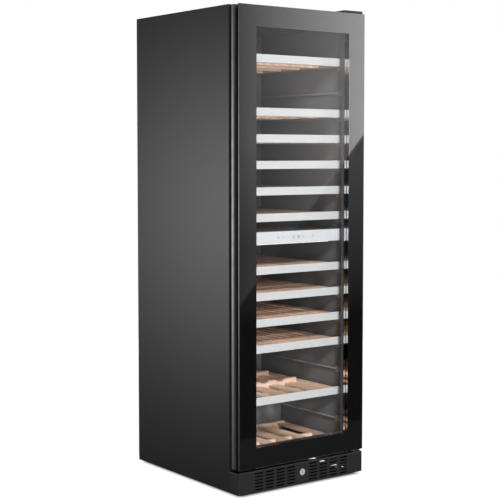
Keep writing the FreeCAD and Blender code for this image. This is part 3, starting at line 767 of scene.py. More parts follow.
class Finishes:
    """Every finish of the cooler, by the maker's names."""

    CABINET = SatinPaint("cabinet_satin_black")
    PLINTH = SatinPaint("plinth_satin_black", (0.0055, 0.0055, 0.0058), (0.3, 0.38), 0.1)
    BASE = SatinPaint("base_black_steel", (0.02, 0.02, 0.02), (0.4, 0.5), 0.15)
    GRIP = ChannelCoat("grip_black_coat")
    FRAME = SatinPaint("door_frame_grey", (0.045, 0.045, 0.046), (0.3, 0.4), 0.08)
    GRIP_LIP = PlainMetal("grip_lip_anodised", (0.26, 0.26, 0.264), (0.3, 0.4))
    LINER = MouldedPlastic("liner_grey", (0.11, 0.11, 0.112), (0.45, 0.6), 700, 0.1)
    GUIDE = MouldedPlastic("guide_grey", (0.21, 0.21, 0.21), (0.4, 0.5))
    BLACK_PLASTIC = MouldedPlastic("black_moulding")
    PANEL = SatinPaint("control_panel_silver", (0.27, 0.276, 0.286), (0.32, 0.4), 0.05)
    PANEL_MARK = MouldedPlastic("control_mark_ink", (0.004, 0.004, 0.005))
    STEEL = BrushedSteel("trim_brushed_steel")
    ZINC = PlainMetal("zinc_plate", (0.55, 0.55, 0.54), (0.3, 0.45))
    NICKEL = SatinPaint("lock_satin_nickel", (0.105, 0.105, 0.104), (0.3, 0.38), 0.03)
    SPACER = PlainMetal("spacer_aluminium", (0.8, 0.8, 0.81), (0.04, 0.07))
    WOOD = OiledBeech("beech_long")
    WOOD_ACROSS = OiledBeech("beech_across", Grain.ALONG_X)
    DOOR_GLASS = SheetGlass("tinted_door_glass", (0.95, 0.95, 0.953), 0.016)
    CLEAR_GLASS = SheetGlass("clear_pane", (0.985, 0.988, 0.987), 0.0015)
    BORDER = PrintedBorder("printed_border")
    RUBBER = SoftRubber("seal_rubber")
    LAMP = LampCover("lamp_diffuser")
    FOAM = MouldedPlastic("wall_foam", (0.6, 0.5, 0.3), (0.8, 0.9), 300, 0.4)


# ---------------------------------------------------------------- the cabinet


@dataclass
class Cabinet:
    """The outer sheets, the liner and what stands in the machine niche."""

    screw_radius: float = 4 * MM
    screw_rise: float = 1.2 * MM
    screw_inset: float = 12 * MM
    back_screws: tuple[float, ...] = (0.3, 0.66, 1.02, 1.38, 1.72)
    body: str = "cabinet"

    def dress(self) -> None:
        """Give every CAD node of the cabinet its finish."""
        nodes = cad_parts
        plan = {
            Finishes.CABINET: ("side_panel_left", "side_panel_right", "top_panel"),
            Finishes.BASE: ("back_panel", "compressor", "service_grille", "upper_hinge"),
            Finishes.PLINTH: ("underside_panel", "base_frame"),
            Finishes.ZINC: ("lower_hinge",),
            Finishes.LINER: ("inner_liner", "duct_covers", "zone_divider"),
            Finishes.FOAM: ("insulation",),
            Finishes.BLACK_PLASTIC: ("front_feet", "rear_roller_left", "rear_roller_right",
                                     "condenser_fan", "upper_fan", "lower_fan", "fan_motors",
                                     "control_box", "power_inlet"),
            Finishes.SPACER: ("evaporators", "condenser"),
            Finishes.LAMP: ("led_strips",),
        }
        for finish, names in plan.items():
            finish.on(*(nodes[name] for name in names))

    def screw(self) -> bpy.types.Object:
        """One pan-head screw with a cross recess, its head looking along +Y at the origin."""
        head = rod("screw", (0, -self.screw_rise / 2, 0), self.screw_radius, self.screw_rise,
                   Axis.Y, 16)
        rounded(head, 0.5 * MM, 2)
        arm = 2.2 * MM
        slot = 0.5 * MM
        cut(head, box("slot_a", (-arm, -0.6 * MM, -slot), (arm, 1 * MM, slot)),
            box("slot_b", (-slot, -0.6 * MM, -arm), (slot, 1 * MM, arm)))
        return head

    def build(self) -> list[bpy.types.Object]:
        """Model the screws of the back sheet.

        Returns:
            The new pieces.
        """
        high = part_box("back_panel")[1]
        model = self.screw()
        screws = []
        for side in (-1, 1):
            for number, height in enumerate(self.back_screws):
                screws.append(copied(model, f"back_screw_{number}",
                                     (side * (high.x - self.screw_inset), high.y, height)))
        bpy.data.objects.remove(model)
        whole = joined("back_screws", *screws)
        Finishes.ZINC.on(whole)
        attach(whole, self.body)
        return [whole]


@dataclass
class HingeCover:
    """The moulded cap over the upper hinge."""

    edge: float = 3 * MM
    rim: float = 6 * MM
    sink: float = 0.8 * MM
    body: str = "cabinet"

    def build(self) -> list[bpy.types.Object]:
        """Model the cap with rounded edges and a slightly sunken top.

        Returns:
            The new piece.
        """
        low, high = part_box("hinge_cover")
        cap = box("hinge_cap", low, high)
        select_faces(cap, facing(Axis.Z, 1))
        bpy.ops.mesh.inset(thickness=self.rim)
        bpy.ops.transform.translate(value=(0, 0, -self.sink))
        leave_edit()
        rounded(cap, self.edge, 3)
        Finishes.BLACK_PLASTIC.on(cap)
        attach(cap, self.body)
        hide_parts("hinge_cover")
        return [cap]


@dataclass
class Plinth:
    """The slotted plinth with its lock."""

    ring_wall: float = 1.6 * MM
    ring_depth: float = 1 * MM
    play: float = 0.15 * MM
    body: str = "cabinet"

    def build(self) -> list[bpy.types.Object]:
        """Dress the plinth and the lock, and add the lock's dark collar.

        Returns:
            The new pieces.
        """
        Finishes.PLINTH.on(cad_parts["plinth"])
        Finishes.NICKEL.on(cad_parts["lock_barrel"])
        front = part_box("plinth")[0].y
        lock_low, lock_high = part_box("lock_barrel")
        radius = -lock_low.x
        height = (lock_low.z + lock_high.z) / 2
        collar = rod("lock_collar", (0, front - self.ring_depth / 2, height),
                     radius + self.ring_wall, self.ring_depth, Axis.Y, 48)
        cut(collar, rod("hole", (0, front, height), radius + self.play, 6 * MM, Axis.Y, 48))
        rounded(collar, 0.3 * MM, 2)
        Finishes.BLACK_PLASTIC.on(collar)
        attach(collar, self.body)
        return [collar]


# ---------------------------------------------------------------- the door


SEAL_PROFILE = (
    (0, 0), (0.0, 0.16), (0.1, 0.24), (0.03, 0.36), (0.16, 0.48), (0.06, 0.62), (0.14, 0.72),
    (0.14, 1.0), (0.86, 1.0), (0.86, 0.72), (0.94, 0.62), (0.84, 0.48), (0.97, 0.36),
    (0.9, 0.24), (1.0, 0.16), (1.0, 0),
)


@dataclass
class Door:
    """The glass door: outer glass with its printed border, panes, spacers, profiles and seal."""

    edge: float = 0.7 * MM
    ink: float = 0.2 * MM
    ink_gap: float = 0.05 * MM
    ink_inset: float = 0.6 * MM
    spacer_width: float = 12 * MM
    lip: float = 0.4 * MM
    lip_inset: float = 0.5 * MM
    front_lip: Range = (0.3 * MM, 4.4 * MM)
    rear_lip: Range = (33 * MM, 45.8 * MM)
    cap_across: Range = (26.5 * MM, 61.5 * MM)
    cap_inset: float = 4.2 * MM
    cap_depth: Range = (0.2 * MM, 3 * MM)
    seal_width: float = 14 * MM
    seal_smooth: float = 25
    body: str = "door"

    def window(self) -> tuple[Vector, Vector]:
        """The clear opening in the border, as its low and high corners."""
        low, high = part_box("glazing_spacers")
        margin = Vector((self.spacer_width, 0, self.spacer_width))
        return low + margin, high - margin

    def glass(self) -> bpy.types.Object:
        """The outer glass with polished edges."""
        low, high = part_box("front_glass")
        pane = box("door_glass_pane", low, (high.x, high.y - self.ink - self.ink_gap, high.z))
        rounded(pane, self.edge, 2)
        clear_low, clear_high = self.window()
        replace(Finishes.DOOR_GLASS, half_width=clear_high.x,
                heights=(clear_low.z, clear_high.z)).on(pane)
        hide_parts("front_glass")
        return pane

    def border(self) -> bpy.types.Object:
        """The printed border on the glass's inner face."""
        low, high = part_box("front_glass")
        clear_low, clear_high = self.window()
        inset = self.ink_inset
        ink = box("door_printed_border", (low.x + inset, high.y - self.ink, low.z + inset),
                  (high.x - inset, high.y, high.z - inset))
        hole = box("hole", (clear_low.x, low.y, clear_low.z),
                   (clear_high.x, high.y + 1, clear_high.z))
        cut(ink, hole)
        Finishes.BORDER.on(ink)
        return ink

    def lips(self) -> list[bpy.types.Object]:
        """The two lighter strips on the door's side, before and behind the grip channel."""
        low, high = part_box("grip_profile")
        pieces = []
        for name, (front, back) in (("front", self.front_lip), ("rear", self.rear_lip)):
            strip = box(f"grip_lip_{name}",
                        (low.x - self.lip, low.y + front, low.z + self.lip_inset),
                        (low.x + self.lip, low.y + back, high.z - self.lip_inset))
            rounded(strip, 0.2 * MM)
            Finishes.GRIP_LIP.on(strip)
            pieces.append(strip)
        return pieces

    def caps(self) -> list[bpy.types.Object]:
        """Plastic caps that close the hollow profiles at both ends."""
        low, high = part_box("grip_profile")
        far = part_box("door_frame")[1].x
        near_side, far_side = self.cap_across
        pieces = []
        for name, left, right in (("grip", low.x + near_side, low.x + far_side),
                                  ("hinge", far - far_side, far - near_side)):
            for end, at, inward in (("low", low.z, 1), ("high", high.z, -1)):
                start, stop = sorted(at + inward * depth for depth in self.cap_depth)
                cap = box(f"door_cap_{name}_{end}", (left, low.y + self.cap_inset, start),
                          (right, high.y - self.cap_inset, stop))
                rounded(cap, 0.4 * MM)
                Finishes.BLACK_PLASTIC.on(cap)
                pieces.append(cap)
        return pieces

    def seal(self) -> bpy.types.Object:
        """The magnetic seal: a base, two bellows folds and a flat lip, mitred at the corners."""
        low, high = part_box("door_gasket")
        depth, width = high.y - low.y, self.seal_width
        profile = SEAL_PROFILE
        corners = ((low.x, low.z, 1, 1), (high.x, low.z, -1, 1), (high.x, high.z, -1, -1),
                   (low.x, high.z, 1, -1))
        points = []
        for x, z, inward_x, inward_z in corners:
            for across, out in profile:
                points.append((x + inward_x * across * width, low.y + out * depth,
                               z + inward_z * across * width))
        count = len(profile)
        faces = []
        for corner in range(4):
            after = (corner + 1) % 4
            for step in range(count):
                following = (step + 1) % count
                faces.append((corner * count + step, corner * count + following,
                              after * count + following, after * count + step))
        mesh = bpy.data.meshes.new("door_seal")
        mesh.from_pydata(points, [], faces)
        piece = bpy.data.objects.new("door_seal", mesh)
        bpy.context.scene.collection.objects.link(piece)
        edit_all(piece)
        bpy.ops.mesh.normals_make_consistent(inside=False)
        leave_edit()
        smooth(piece, self.seal_smooth)
        Finishes.RUBBER.on(piece)
        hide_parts("door_gasket")
        return piece

    def build(self) -> list[bpy.types.Object]:
        """Model the door's own pieces and dress its CAD nodes.

        Returns:
            The new pieces.
        """
        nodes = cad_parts
        Finishes.GRIP.on(nodes["grip_profile"])
        Finishes.FRAME.on(nodes["door_frame"])
        Finishes.CLEAR_GLASS.on(nodes["inner_panes"])
        Finishes.SPACER.on(nodes["glazing_spacers"])
        pieces = [self.glass(), self.border(), self.seal(), *self.lips(), *self.caps()]
        for piece in pieces:
            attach(piece, self.body)
        return pieces


# ---------------------------------------------------------------- the shelves


@dataclass
class Shelf:
    """One wooden rack in its steel frame."""

    number: int
    rack_model: bpy.types.Object
    frame_model: bpy.types.Object
    lift: float

    def build(self) -> list[bpy.types.Object]:
        """Copy the rack and the frame to this shelf's place.

        Returns:
            The new pieces.
        """
        body = f"shelf_{self.number}"
        rack = copied(self.rack_model, f"rack_{self.number}", (0, 0, self.lift))
        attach(rack, body)
        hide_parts(f"shelf_rack_{self.number}")
        steel = copied(self.frame_model, f"shelf_steel_{self.number}", (0, 0, self.lift))
        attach(steel, body)
        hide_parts(f"shelf_frame_{self.number}")
        return [rack, steel]


BOTTLES = (-1.5, -0.5, 0.5, 1.5)


@dataclass
class RackShop:
    """Makes the wooden racks, each once, at height zero: the level of the shelf's front trim."""

    half: float = 238 * MM
    front: float = -258 * MM
    rear: float = 240 * MM
    top: float = -7 * MM
    slat_thick: float = 12 * MM
    rail_height: float = 11 * MM
    board_width: float = 40 * MM
    rail_width: float = 18 * MM
    rail_edge: float = 1 * MM
    edge: float = 1.5 * MM
    pin_radius: float = 1.3 * MM
    slat_pitch: float = 40 * MM
    slat_width: float = 22 * MM
    bottle_pitch: float = 79 * MM
    display_width: float = 38 * MM
    bottom_width: float = 48 * MM
    cradles: Range = (-50 * MM, 130 * MM)
    cradle_rise: float = 16 * MM
    scoop_radius: float = 38 * MM
    scoop_rise: float = 29 * MM
    middle_rail: float = -150 * MM
    rail_play: float = 0.3 * MM

    def bar(self, low: Point, high: Point, finish: Finish, edge: float) -> bpy.types.Object:
        """One planed and rounded bar of wood.

        Args:
            low: Its lowest corner.
            high: Its highest corner.
            finish: Its wood finish.
            edge: The rounding of its edges.

        Returns:
            The bar.
        """
        piece = rounded(box("bar", low, high), edge, 2)
        finish.on(piece)
        return piece

    def rails(self, z_low: float, z_high: float) -> list[bpy.types.Object]:
        """The five cross rails under the slats."""
        span = self.rear - self.front - self.rail_width
        pieces = []
        for step in range(5):
            start = self.front + step * span / 4
            pieces.append(self.bar((-self.half, start, z_low),
                                   (self.half, start + self.rail_width, z_high),
                                   Finishes.WOOD_ACROSS, self.rail_edge))
        return pieces

    def boards(self, front: float, rear: float, low: float,
               top: float) -> list[bpy.types.Object]:
        """The broad board at each side.

        Args:
            front: Their front end.
            rear: Their rear end.
            low: Their underside.
            top: Their top.

        Returns:
            The two boards.
        """
        pieces = []
        for side in (-1, 1):
            left, right = sorted((side * self.half, side * (self.half - self.board_width)))
            pieces.append(self.bar((left, front, low), (right, rear, top), Finishes.WOOD,
                                   self.edge))
        return pieces

    def slats(self, centres: Iterable[float], width: float) -> list[bpy.types.Object]:
        """The long slats.

        Args:
            centres: Each slat's middle, across the rack.
            width: A slat's width.

        Returns:
            The slats.
        """
        low = self.top - self.slat_thick
        return [self.bar((x - width / 2, self.front, low), (x + width / 2, self.rear, self.top),
                         Finishes.WOOD, self.edge) for x in centres]

    def pins(self, centres: Iterable[float]) -> list[bpy.types.Object]:
        """Small steel pins that hold each slat to the front and rear rails."""
        pieces = []
        for x in centres:
            for y in (self.front + self.rail_width / 2, self.rear - self.rail_width / 2):
                pin = rod("pin", (x, y, self.top), self.pin_radius, 0.5 * MM, Axis.Z, 10)
                Finishes.ZINC.on(pin)
                pieces.append(pin)
        return pieces

    def rack(self, name: str, centres: list[float], width: float,
             cradles: Iterable[float] = ()) -> bpy.types.Object:
        """A whole rack: side boards, slats, cross rails, cradles and pins.

        Args:
            name: Its name.
            centres: Each slat's middle, across the rack.
            width: A slat's width.
            cradles: The front faces of its cradles.

        Returns:
            The rack.
        """
        under = self.top - self.slat_thick
        return joined(name, *self.boards(self.front, self.rear, under, self.top),
                      *self.slats(centres, width),
                      *self.rails(under - self.rail_height, under + 0.5 * MM),
                      *[self.cradle(start) for start in cradles], *self.pins(centres))

    def slat_rack(self) -> bpy.types.Object:
        """The plain rack with nine slats."""
        centres = [number * self.slat_pitch for number in range(-4, 5)]
        return self.rack("rack_model", centres, self.slat_width)

    def cradle(self, start: float) -> bpy.types.Object:
        """A scalloped rail that holds the bottles side by side.

        Args:
            start: Its front face, from the middle of the cooler.

        Returns:
            The rail.
        """
        high = self.top + self.cradle_rise
        low = self.top - self.slat_thick
        reach = self.half - self.board_width
        bar = box("cradle", (-reach, start, low), (reach, start + self.rail_width, high))
        middle = start + self.rail_width / 2
        for step in BOTTLES:
            cut(bar, rod("scoop", (step * self.bottle_pitch, middle, high + self.scoop_rise),
                         self.scoop_radius, 2 * self.rail_width, Axis.Y, 96))
        rounded(bar, 1.2 * MM, 2, 30)
        Finishes.WOOD_ACROSS.on(bar)
        return bar

    def display_rack(self) -> bpy.types.Object:
        """The display rack with five broad slats and two cradles."""
        centres = [number * self.bottle_pitch for number in range(-2, 3)]
        return self.rack("display_model", centres, self.display_width, self.cradles)

    def bottom_rack(self) -> bpy.types.Object:
        """The fixed rack on the cooler's floor."""
        low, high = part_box("bottom_rack")
        top = high.z - 3 * MM
        under = low.z + self.rail_height
        pieces = []
        for step in BOTTLES:
            middle, half = step * self.bottle_pitch, self.bottom_width / 2
            pieces.append(self.bar((middle - half, low.y, under), (middle + half, high.y, top),
                                   Finishes.WOOD, self.edge))
        pieces += self.boards(low.y, high.y, under, top)
        for start, rail_top in ((low.y, under), (self.middle_rail, top - 0.6 * MM),
                                (high.y - self.rail_width, high.z)):
            pieces.append(self.bar((-self.half, start + self.rail_play, low.z),
                                   (self.half, start + self.rail_width - self.rail_play,
                                    rail_top), Finishes.WOOD_ACROSS, self.rail_edge))
        whole = joined("bottom_rack_wood", *pieces)
        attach(whole, "cabinet")
        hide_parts("bottom_rack")
        return whole


@dataclass
class SteelShop:
    """Makes the shelf's steel frame once: a folded front trim and two side runners."""

    half: float = 247 * MM
    front: float = -262 * MM
    depth: float = 4 * MM
    height: float = 30 * MM
    wall: float = 1.5 * MM
    runner_inner: float = 238 * MM
    runner_outer: float = 246.5 * MM
    runner_top: float = -12 * MM
    rear: float = 240 * MM

    def frame_model(self) -> bpy.types.Object:
        """The trim and the runners as one piece at height zero."""
        trim = box("trim", (-self.half, self.front, -self.height),
                   (self.half, self.front + self.depth, 0))
        select_faces(trim, facing(Axis.Y, 1))
        bpy.ops.mesh.inset(thickness=self.wall)
        bpy.ops.mesh.extrude_region_move(
            TRANSFORM_OT_translate={"value": (0, -(self.depth - self.wall), 0)})
        leave_edit()
        rounded(trim, 0.8 * MM, 3)
        Finishes.STEEL.on(trim)
        pieces = [trim]
        for side in (-1, 1):
            near, far = side * self.runner_inner, side * (self.runner_inner + self.wall)
            wall = box("runner_wall", (min(near, far), self.front + self.wall, -self.height),
                       (max(near, far), self.rear, self.runner_top))
            outer = side * self.runner_outer
            flange = box("runner_foot", (min(far, outer), self.front + self.wall, -self.height),
                         (max(far, outer), self.rear, -self.height + self.wall))
            for piece in (wall, flange):
                rounded(piece, 0.3 * MM, 1)
                Finishes.ZINC.on(piece)
                pieces.append(piece)
        return joined("steel_model", *pieces)


@dataclass
class Shelves:
    """The whole stock of shelves, and the guides that carry them."""

    count: int = 11
    ribs: int = 6
    rib_pitch: float = 3.1 * MM
    first: float = 141.5 * MM
    pitch: float = 96.8 * MM
    panel_place: int = 8
    wall: float = 252 * MM
    step_top: float = 300 * MM
    step_front: float = 120 * MM
    body: str = "cabinet"

    def guides(self) -> bpy.types.Object:
        """The ledges along both walls, each with a ribbed clip at its front."""
        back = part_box("shelf_guides")[1].y
        pieces = []
        for place in range(1, 16):
            if place == self.panel_place:
                continue
            level = self.first + place * self.pitch
            clip_top = level - 23 * MM
            rear = back if clip_top > self.step_top else self.step_front
            ledge = box("ledge", (self.wall - 10 * MM, -230 * MM, level - 35 * MM),
                        (self.wall, rear, level - 30.3 * MM))
            clip = box("clip", (self.wall - 4.5 * MM, -266 * MM, level - 45 * MM),
                       (self.wall, -229.8 * MM, clip_top))
            pieces += [rounded(ledge, 1 * MM, 2), rounded(clip, 0.8 * MM, 2)]
            for number in range(self.ribs):
                height = level - 26.5 * MM - number * self.rib_pitch
                rib = box("rib", (self.wall - 4.9 * MM, -265.4 * MM, height - 0.7 * MM),
                          (self.wall - 4 * MM, -235 * MM, height + 0.7 * MM))
                pieces.append(rounded(rib, 0.3 * MM, 1))
        right = joined("guides_right", *pieces)
        left = copied(right, "guides_left", (0, 0, 0))
        edit_all(left)
        bpy.ops.transform.mirror(orient_type="GLOBAL", constraint_axis=(True, False, False),
                                 center_override=(0, 0, 0))
        bpy.ops.mesh.normals_make_consistent(inside=False)
        leave_edit()
        whole = joined("wall_guides", right, left)
        Finishes.GUIDE.on(whole)
        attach(whole, self.body)
        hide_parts("shelf_guides")
        return whole

    def build(self) -> list[bpy.types.Object]:
        """Make every shelf, the bottom rack and the guides.

        Returns:
            The new pieces.
        """
        wood, steel = RackShop(), SteelShop()
        plain, display = wood.slat_rack(), wood.display_rack()
        metal = steel.frame_model()
        pieces = [wood.bottom_rack(), self.guides()]
        for number in range(1, self.count + 1):
            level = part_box(f"shelf_frame_{number}")[1].z
            model = display if number == 1 else plain
            pieces += Shelf(number, model, metal, level).build()
        for model in (plain, display, metal):
            bpy.data.objects.remove(model)
        return pieces


# ---------------------------------------------------------------- the control panel


SEGMENTS = {
    "top": (0, 1, 1), "middle": (0, 0, 1), "bottom": (0, -1, 1),
    "upper_left": (-1, 0.5, 0), "upper_right": (1, 0.5, 0),
    "lower_left": (-1, -0.5, 0), "lower_right": (1, -0.5, 0),
}
DIGITS = {
    "1": ("upper_right", "lower_right"),
    "2": ("top", "upper_right", "middle", "lower_left", "bottom"),
    "8": tuple(SEGMENTS),
}


@dataclass
class ControlPanel:
    """The silver panel between the zones: two readouts and six touch marks."""

    middle: float = 17 * MM
    pitch: float = 23.5 * MM
    relief: float = 0.15 * MM
    recess: float = 0.4 * MM
    digit_half: float = 2.6 * MM
    digit_line: float = 1.2 * MM
    digit_step: float = 4.2 * MM
    mark_long: float = 7 * MM
    mark_thin: float = 1.1 * MM
    body: str = "cabinet"
    readings: tuple[str, ...] = ("12", "18")

    def front(self) -> float:
        """The plate's front face."""
        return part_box("control_panel")[0].y + self.recess

    def plate(self) -> bpy.types.Object:
        """The panel's front with rolled edges."""
        low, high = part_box("control_panel")
        plate = box("control_plate", (low.x, self.front(), low.z), high)
        rounded(plate, 1.5 * MM, 3)
        Finishes.PANEL.on(plate)
        return plate

    def stroke(self, x: float, z: float, width: float, height: float) -> bpy.types.Object:
        """One printed stroke on the panel.

        Args:
            x: Its middle across.
            z: Its middle in height.
            width: Its width.
            height: Its height.

        Returns:
            The stroke.
        """
        front = self.front()
        mark = box("stroke", (x - width / 2, front - self.relief, z - height / 2),
                   (x + width / 2, front + 0.2 * MM, z + height / 2))
        Finishes.PANEL_MARK.on(mark)
        return mark

    def digit(self, text: str, x: float, z: float) -> list[bpy.types.Object]:
        """A seven-segment digit.

        Args:
            text: The digit.
            x: Its middle across.
            z: Its middle in height.

        Returns:
            Its strokes.
        """
        half, line = self.digit_half, self.digit_line
        strokes = []
        for name in DIGITS[text]:
            across, up, flat = SEGMENTS[name]
            width = 2 * half - line * 0.4 if flat else line
            height = line if flat else 2 * half - line * 0.4
            strokes.append(self.stroke(x + across * half, z + up * 2 * half, width, height))
        return strokes

    def icon(self, kind: int, x: float, z: float) -> list[bpy.types.Object]:
        """A touch mark: a ring with a notch, a plus or a minus.

        Args:
            kind: Which mark of the row it is.
            x: Its middle across.
            z: Its middle in height.

        Returns:
            Its pieces.
        """
        if kind in (0, 5):
            deselect()
            bpy.ops.mesh.primitive_torus_add(major_radius=3.6 * MM, minor_radius=0.5 * MM,
                                             major_segments=28, minor_segments=6,
                                             location=(x, self.front(), z),
                                             rotation=(math.pi / 2, 0, 0))
            ring = settle(bpy.context.object)
            Finishes.PANEL_MARK.on(ring)
            return [ring, self.stroke(x, z + 3.2 * MM, 1 * MM, 3.4 * MM)]
        flat = self.stroke(x, z, self.mark_long, self.mark_thin)
        if kind in (1, 3):
            return [flat, self.stroke(x, z, self.mark_thin, self.mark_long)]
        return [flat]

    def build(self) -> list[bpy.types.Object]:
        """Model the panel with its marks.

        Returns:
            The new pieces.
        """
        low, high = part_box("control_panel")
        z = (low.z + high.z) / 2
        marks = []
        for kind, step in enumerate((-3.5, -2.5, -1.5, 1.5, 2.5, 3.5)):
            marks += self.icon(kind, self.middle + step * self.pitch, z)
        for step, reading in zip((-0.5, 0.5), self.readings):
            centre = self.middle + step * self.pitch
            for offset, text in zip((-self.digit_step, self.digit_step), reading):
                marks += self.digit(text, centre + offset, z)
        plate = self.plate()
        inks = joined("control_marks", *marks)
        for piece, slot in ((plate, "panel_silver"), (inks, "black_plastic")):
            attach(piece, self.body)
        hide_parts("control_panel")
        return [plate, inks]


# ---------------------------------------------------------------- the studio


@dataclass
class Studio:
    """A pale floor, soft lights and the camera."""

    lens: float = 88.93
    place: Point = (-2.870, -3.848, 1.232)
    pitch: float = -3.53
    yaw: float = -36.76
    shift: float = -0.04
    floor_radius: float = 3.5
    floor_glow: float = 0.97
    ambient: float = 0.05
    # where the painted shadow under the cabinet fades out, measured from the cabinet's sides
    painted_shadow_edge: Range = (-0.03, 0.004)
    card_low: Point = (1.2, -4.5, -1.0)
    card_high: Point = (6.0, -4.5, 4.5)
    edge_slope: float = 1.0456
    edge_height: float = -2.834
    edge_soft: float = 0.008
    card_glow: Range = (0.5, 3.0)
    card_span: Range = (2.7, 4.0)
    card_fade: tuple[float, ...] = (0.35, 1.0, 0.5, 1.4)
    card_dim: tuple[float, ...] = (0.0, 0.45, -0.1, 1.2)
    side_place: Point = (-4.0, 4.4, 0.8)
    side_reach: float = 2.6
    side_glow: float = 6.0

    def camera(self) -> None:
        """Stand the camera at the left, in front."""
        deselect()
        bpy.ops.object.camera_add(location=self.place, rotation=(
            math.radians(90 + self.pitch), 0, math.radians(self.yaw)))
        camera = bpy.context.object
        camera.data.lens = self.lens
        camera.data.sensor_width = 36
        camera.data.shift_y = self.shift
        camera.data.clip_end = 200
        bpy.context.scene.camera = camera

    def floor(self) -> None:
        """Lay a plain white floor that glows a little, so that it has no horizon, with a painted
        shadow beneath the cabinet where it turns dark and stops glowing.
        """
        deselect()
        bpy.ops.mesh.primitive_circle_add(vertices=96, radius=self.floor_radius, fill_type="NGON",
                                          location=(0, 0, -0.0005))
        floor = bpy.context.object
        floor.name = "studio_floor"
        graph = Graph("studio_floor_white")
        # painted shadow: under the cabinet's footprint the floor turns nearly black and stops
        # glowing, fading out just past its sides
        inner, outer = self.painted_shadow_edge
        under = [graph.range(graph.math("ABSOLUTE", along), 1.0, 0.0, side + inner, side + outer)
                 for along, side in zip(graph.parts()[:2], CAD_BOX[1])]
        shade = graph.math("MULTIPLY", *under)
        glow = graph.range(shade, self.floor_glow, 0.0, 0, 1)
        tone = graph.blend(shade, (0.1, 0.1, 0.1), (0.004, 0.004, 0.004))
        graph.set(Base_Color=tone, Roughness=0.9, Emission_Color=(1.0, 1.0, 1.0),
                  Emission_Strength=glow, Specular_IOR_Level=0.0)
        floor.data.materials.append(graph.material)
        floor.visible_glossy = False
        floor.visible_shadow = False

    def hang(self, name: str, low: Point, high: Point, upright: Point, graph: Graph,
             strength: Socket) -> None:
        """Hang a light card that only glossy surfaces show.

        Args:
            name: The card's name.
            low: Its lowest corner.
            high: Its highest corner.
            upright: The turn that stands it up.
            graph: The nodes that its glow was worked out in.
            strength: Its glow.
        """
        low, high = Vector(low), Vector(high)
        deselect()
        bpy.ops.mesh.primitive_plane_add(size=1, location=(low + high) / 2, rotation=upright)
        card = bpy.context.object
        card.name = name
        card.scale = (max(high.x - low.x, high.y - low.y), high.z - low.z, 1)
        settle(card)
        light = graph.add("Emission", Color=(1.0, 1.0, 1.0, 1.0))
        graph.link(strength, light.inputs["Strength"])
        graph.tree.nodes.remove(graph.surface)
        graph.link(light.outputs["Emission"], graph.output.inputs["Surface"])
        card.data.materials.append(graph.material)
        card.visible_camera = False
        card.visible_diffuse = False
        card.visible_shadow = False

    def front_card(self) -> None:
        """A large card at the right, whose slanted edge shows in the door's glass."""
        graph = Graph("studio_front_glow")
        across, _, up = graph.parts()
        above = graph.math("SUBTRACT", up, graph.math("MULTIPLY", across, self.edge_slope))
        lit = graph.range(above, 0, 1, self.edge_height - self.edge_soft,
                          self.edge_height + self.edge_soft)
        fade = graph.range(up, *self.card_fade)
        bright = graph.math("MULTIPLY", graph.range(across, *self.card_glow, *self.card_span),
                            fade)
        dim = graph.range(up, *self.card_dim)
        strength = graph.math("ADD", graph.math("MULTIPLY", bright, lit),
                              graph.math("MULTIPLY", dim, graph.math("SUBTRACT", 1.0, lit)))
        self.hang("studio_front_card", self.card_low, self.card_high, (math.pi / 2, 0, 0), graph,
                  strength)

    def side_card(self) -> None:
        """A soft round glow that the left side's satin paint shows."""
        graph = Graph("studio_side_glow")
        away = graph.add("VectorMath")
        away.operation = "DISTANCE"
        away.inputs[1].default_value = self.side_place
        graph.link(graph.place(), away.inputs[0])
        near = graph.range(away.outputs["Value"], 1.0, 0.0, 0.0, self.side_reach)
        strength = graph.math("MULTIPLY", graph.math("POWER", near, 2.0), self.side_glow)
        middle = Vector(self.side_place)
        reach = Vector((0, self.side_reach, self.side_reach))
        self.hang("studio_side_card", middle - reach, middle + reach,
                  (math.pi / 2, 0, math.pi / 2), graph, strength)

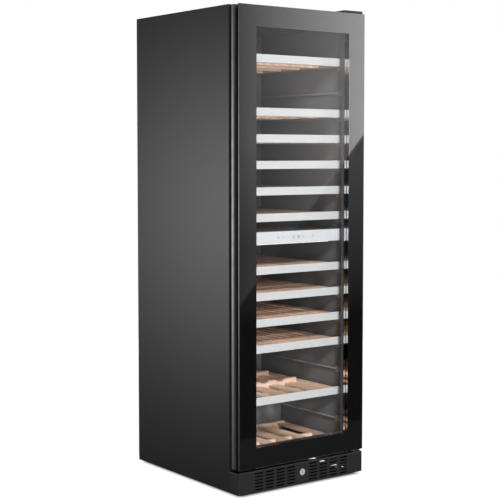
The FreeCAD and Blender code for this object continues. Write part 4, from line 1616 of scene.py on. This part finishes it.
    def soft_box(self, name: str, place: Point, aim: Point, size: Range,
                 power: float, mirrored: bool = True) -> None:
        """Hang a rectangular light.

        Args:
            name: The light's name.
            place: Where it hangs.
            aim: The point that it faces.
            size: Its width and height.
            power: Its power in watts.
            mirrored: Whether glossy surfaces show it.
        """
        data = bpy.data.lights.new(name, "AREA")
        data.shape = "RECTANGLE"
        data.size, data.size_y = size
        data.energy = power
        light = bpy.data.objects.new(name, data)
        bpy.context.scene.collection.objects.link(light)
        light.location = place
        light.rotation_euler = (Vector(aim) - Vector(place)).to_track_quat("-Z", "Y").to_euler()
        light.visible_camera = False
        light.visible_glossy = mirrored

    def world(self) -> None:
        """A white surround to look at, with a dim one lighting the object."""
        world = bpy.data.worlds.new("studio_world")
        bpy.context.scene.world = world
        world.use_nodes = True
        tree = world.node_tree
        ambient = tree.nodes["Background"]
        seen = tree.nodes.new("ShaderNodeBackground")
        for background, strength in ((seen, 1.0), (ambient, self.ambient)):
            background.inputs["Color"].default_value = (1, 1, 1, 1)
            background.inputs["Strength"].default_value = strength
        path = tree.nodes.new("ShaderNodeLightPath")
        mix = tree.nodes.new("ShaderNodeMixShader")
        tree.links.new(path.outputs["Is Camera Ray"], mix.inputs["Fac"])
        tree.links.new(ambient.outputs["Background"], mix.inputs[1])
        tree.links.new(seen.outputs["Background"], mix.inputs[2])
        tree.links.new(mix.outputs["Shader"], tree.nodes["World Output"].inputs["Surface"])

    def build(self) -> None:
        """Set up the camera, the floor and the lights."""
        scene = bpy.context.scene
        scene.view_settings.view_transform = "Standard"
        scene.cycles.transparent_max_bounces = 32
        scene.cycles.use_denoising = True
        self.camera()
        self.floor()
        self.world()
        self.front_card()
        self.side_card()
        self.soft_box("key_front", (-2.2, -6.2, 4.5), (0, 0, 0.9), (1.2, 1.2), 1100, False)
        self.soft_box("fill_front", (-1.6, -4.2, 1.0), (0, 0, 0.9), (3.0, 1.8), 230, False)
        self.soft_box("low_front", (-0.6, -2.6, 0.05), (0, 0, 1.4), (1.6, 0.6), 45, False)
        self.soft_box("rear_fill", (2.4, 5.2, 2.6), (0, 0, 0.9), (2.4, 2.0), 420)


def main() -> None:
    """Build the cooler piece by piece, then the studio."""
    logging.basicConfig(level=logging.INFO, format="%(name)s: %(message)s")
    Studio().build()
    cabinet = Cabinet()
    cabinet.dress()
    for part in (cabinet, HingeCover(), Plinth(), Door(), Shelves(), ControlPanel()):
        for piece in part.build():
            LOG.info("%s: %s, %d faces", type(part).__name__, piece.name,
                     len(piece.data.polygons))


if __name__ == "__main__":
    main()
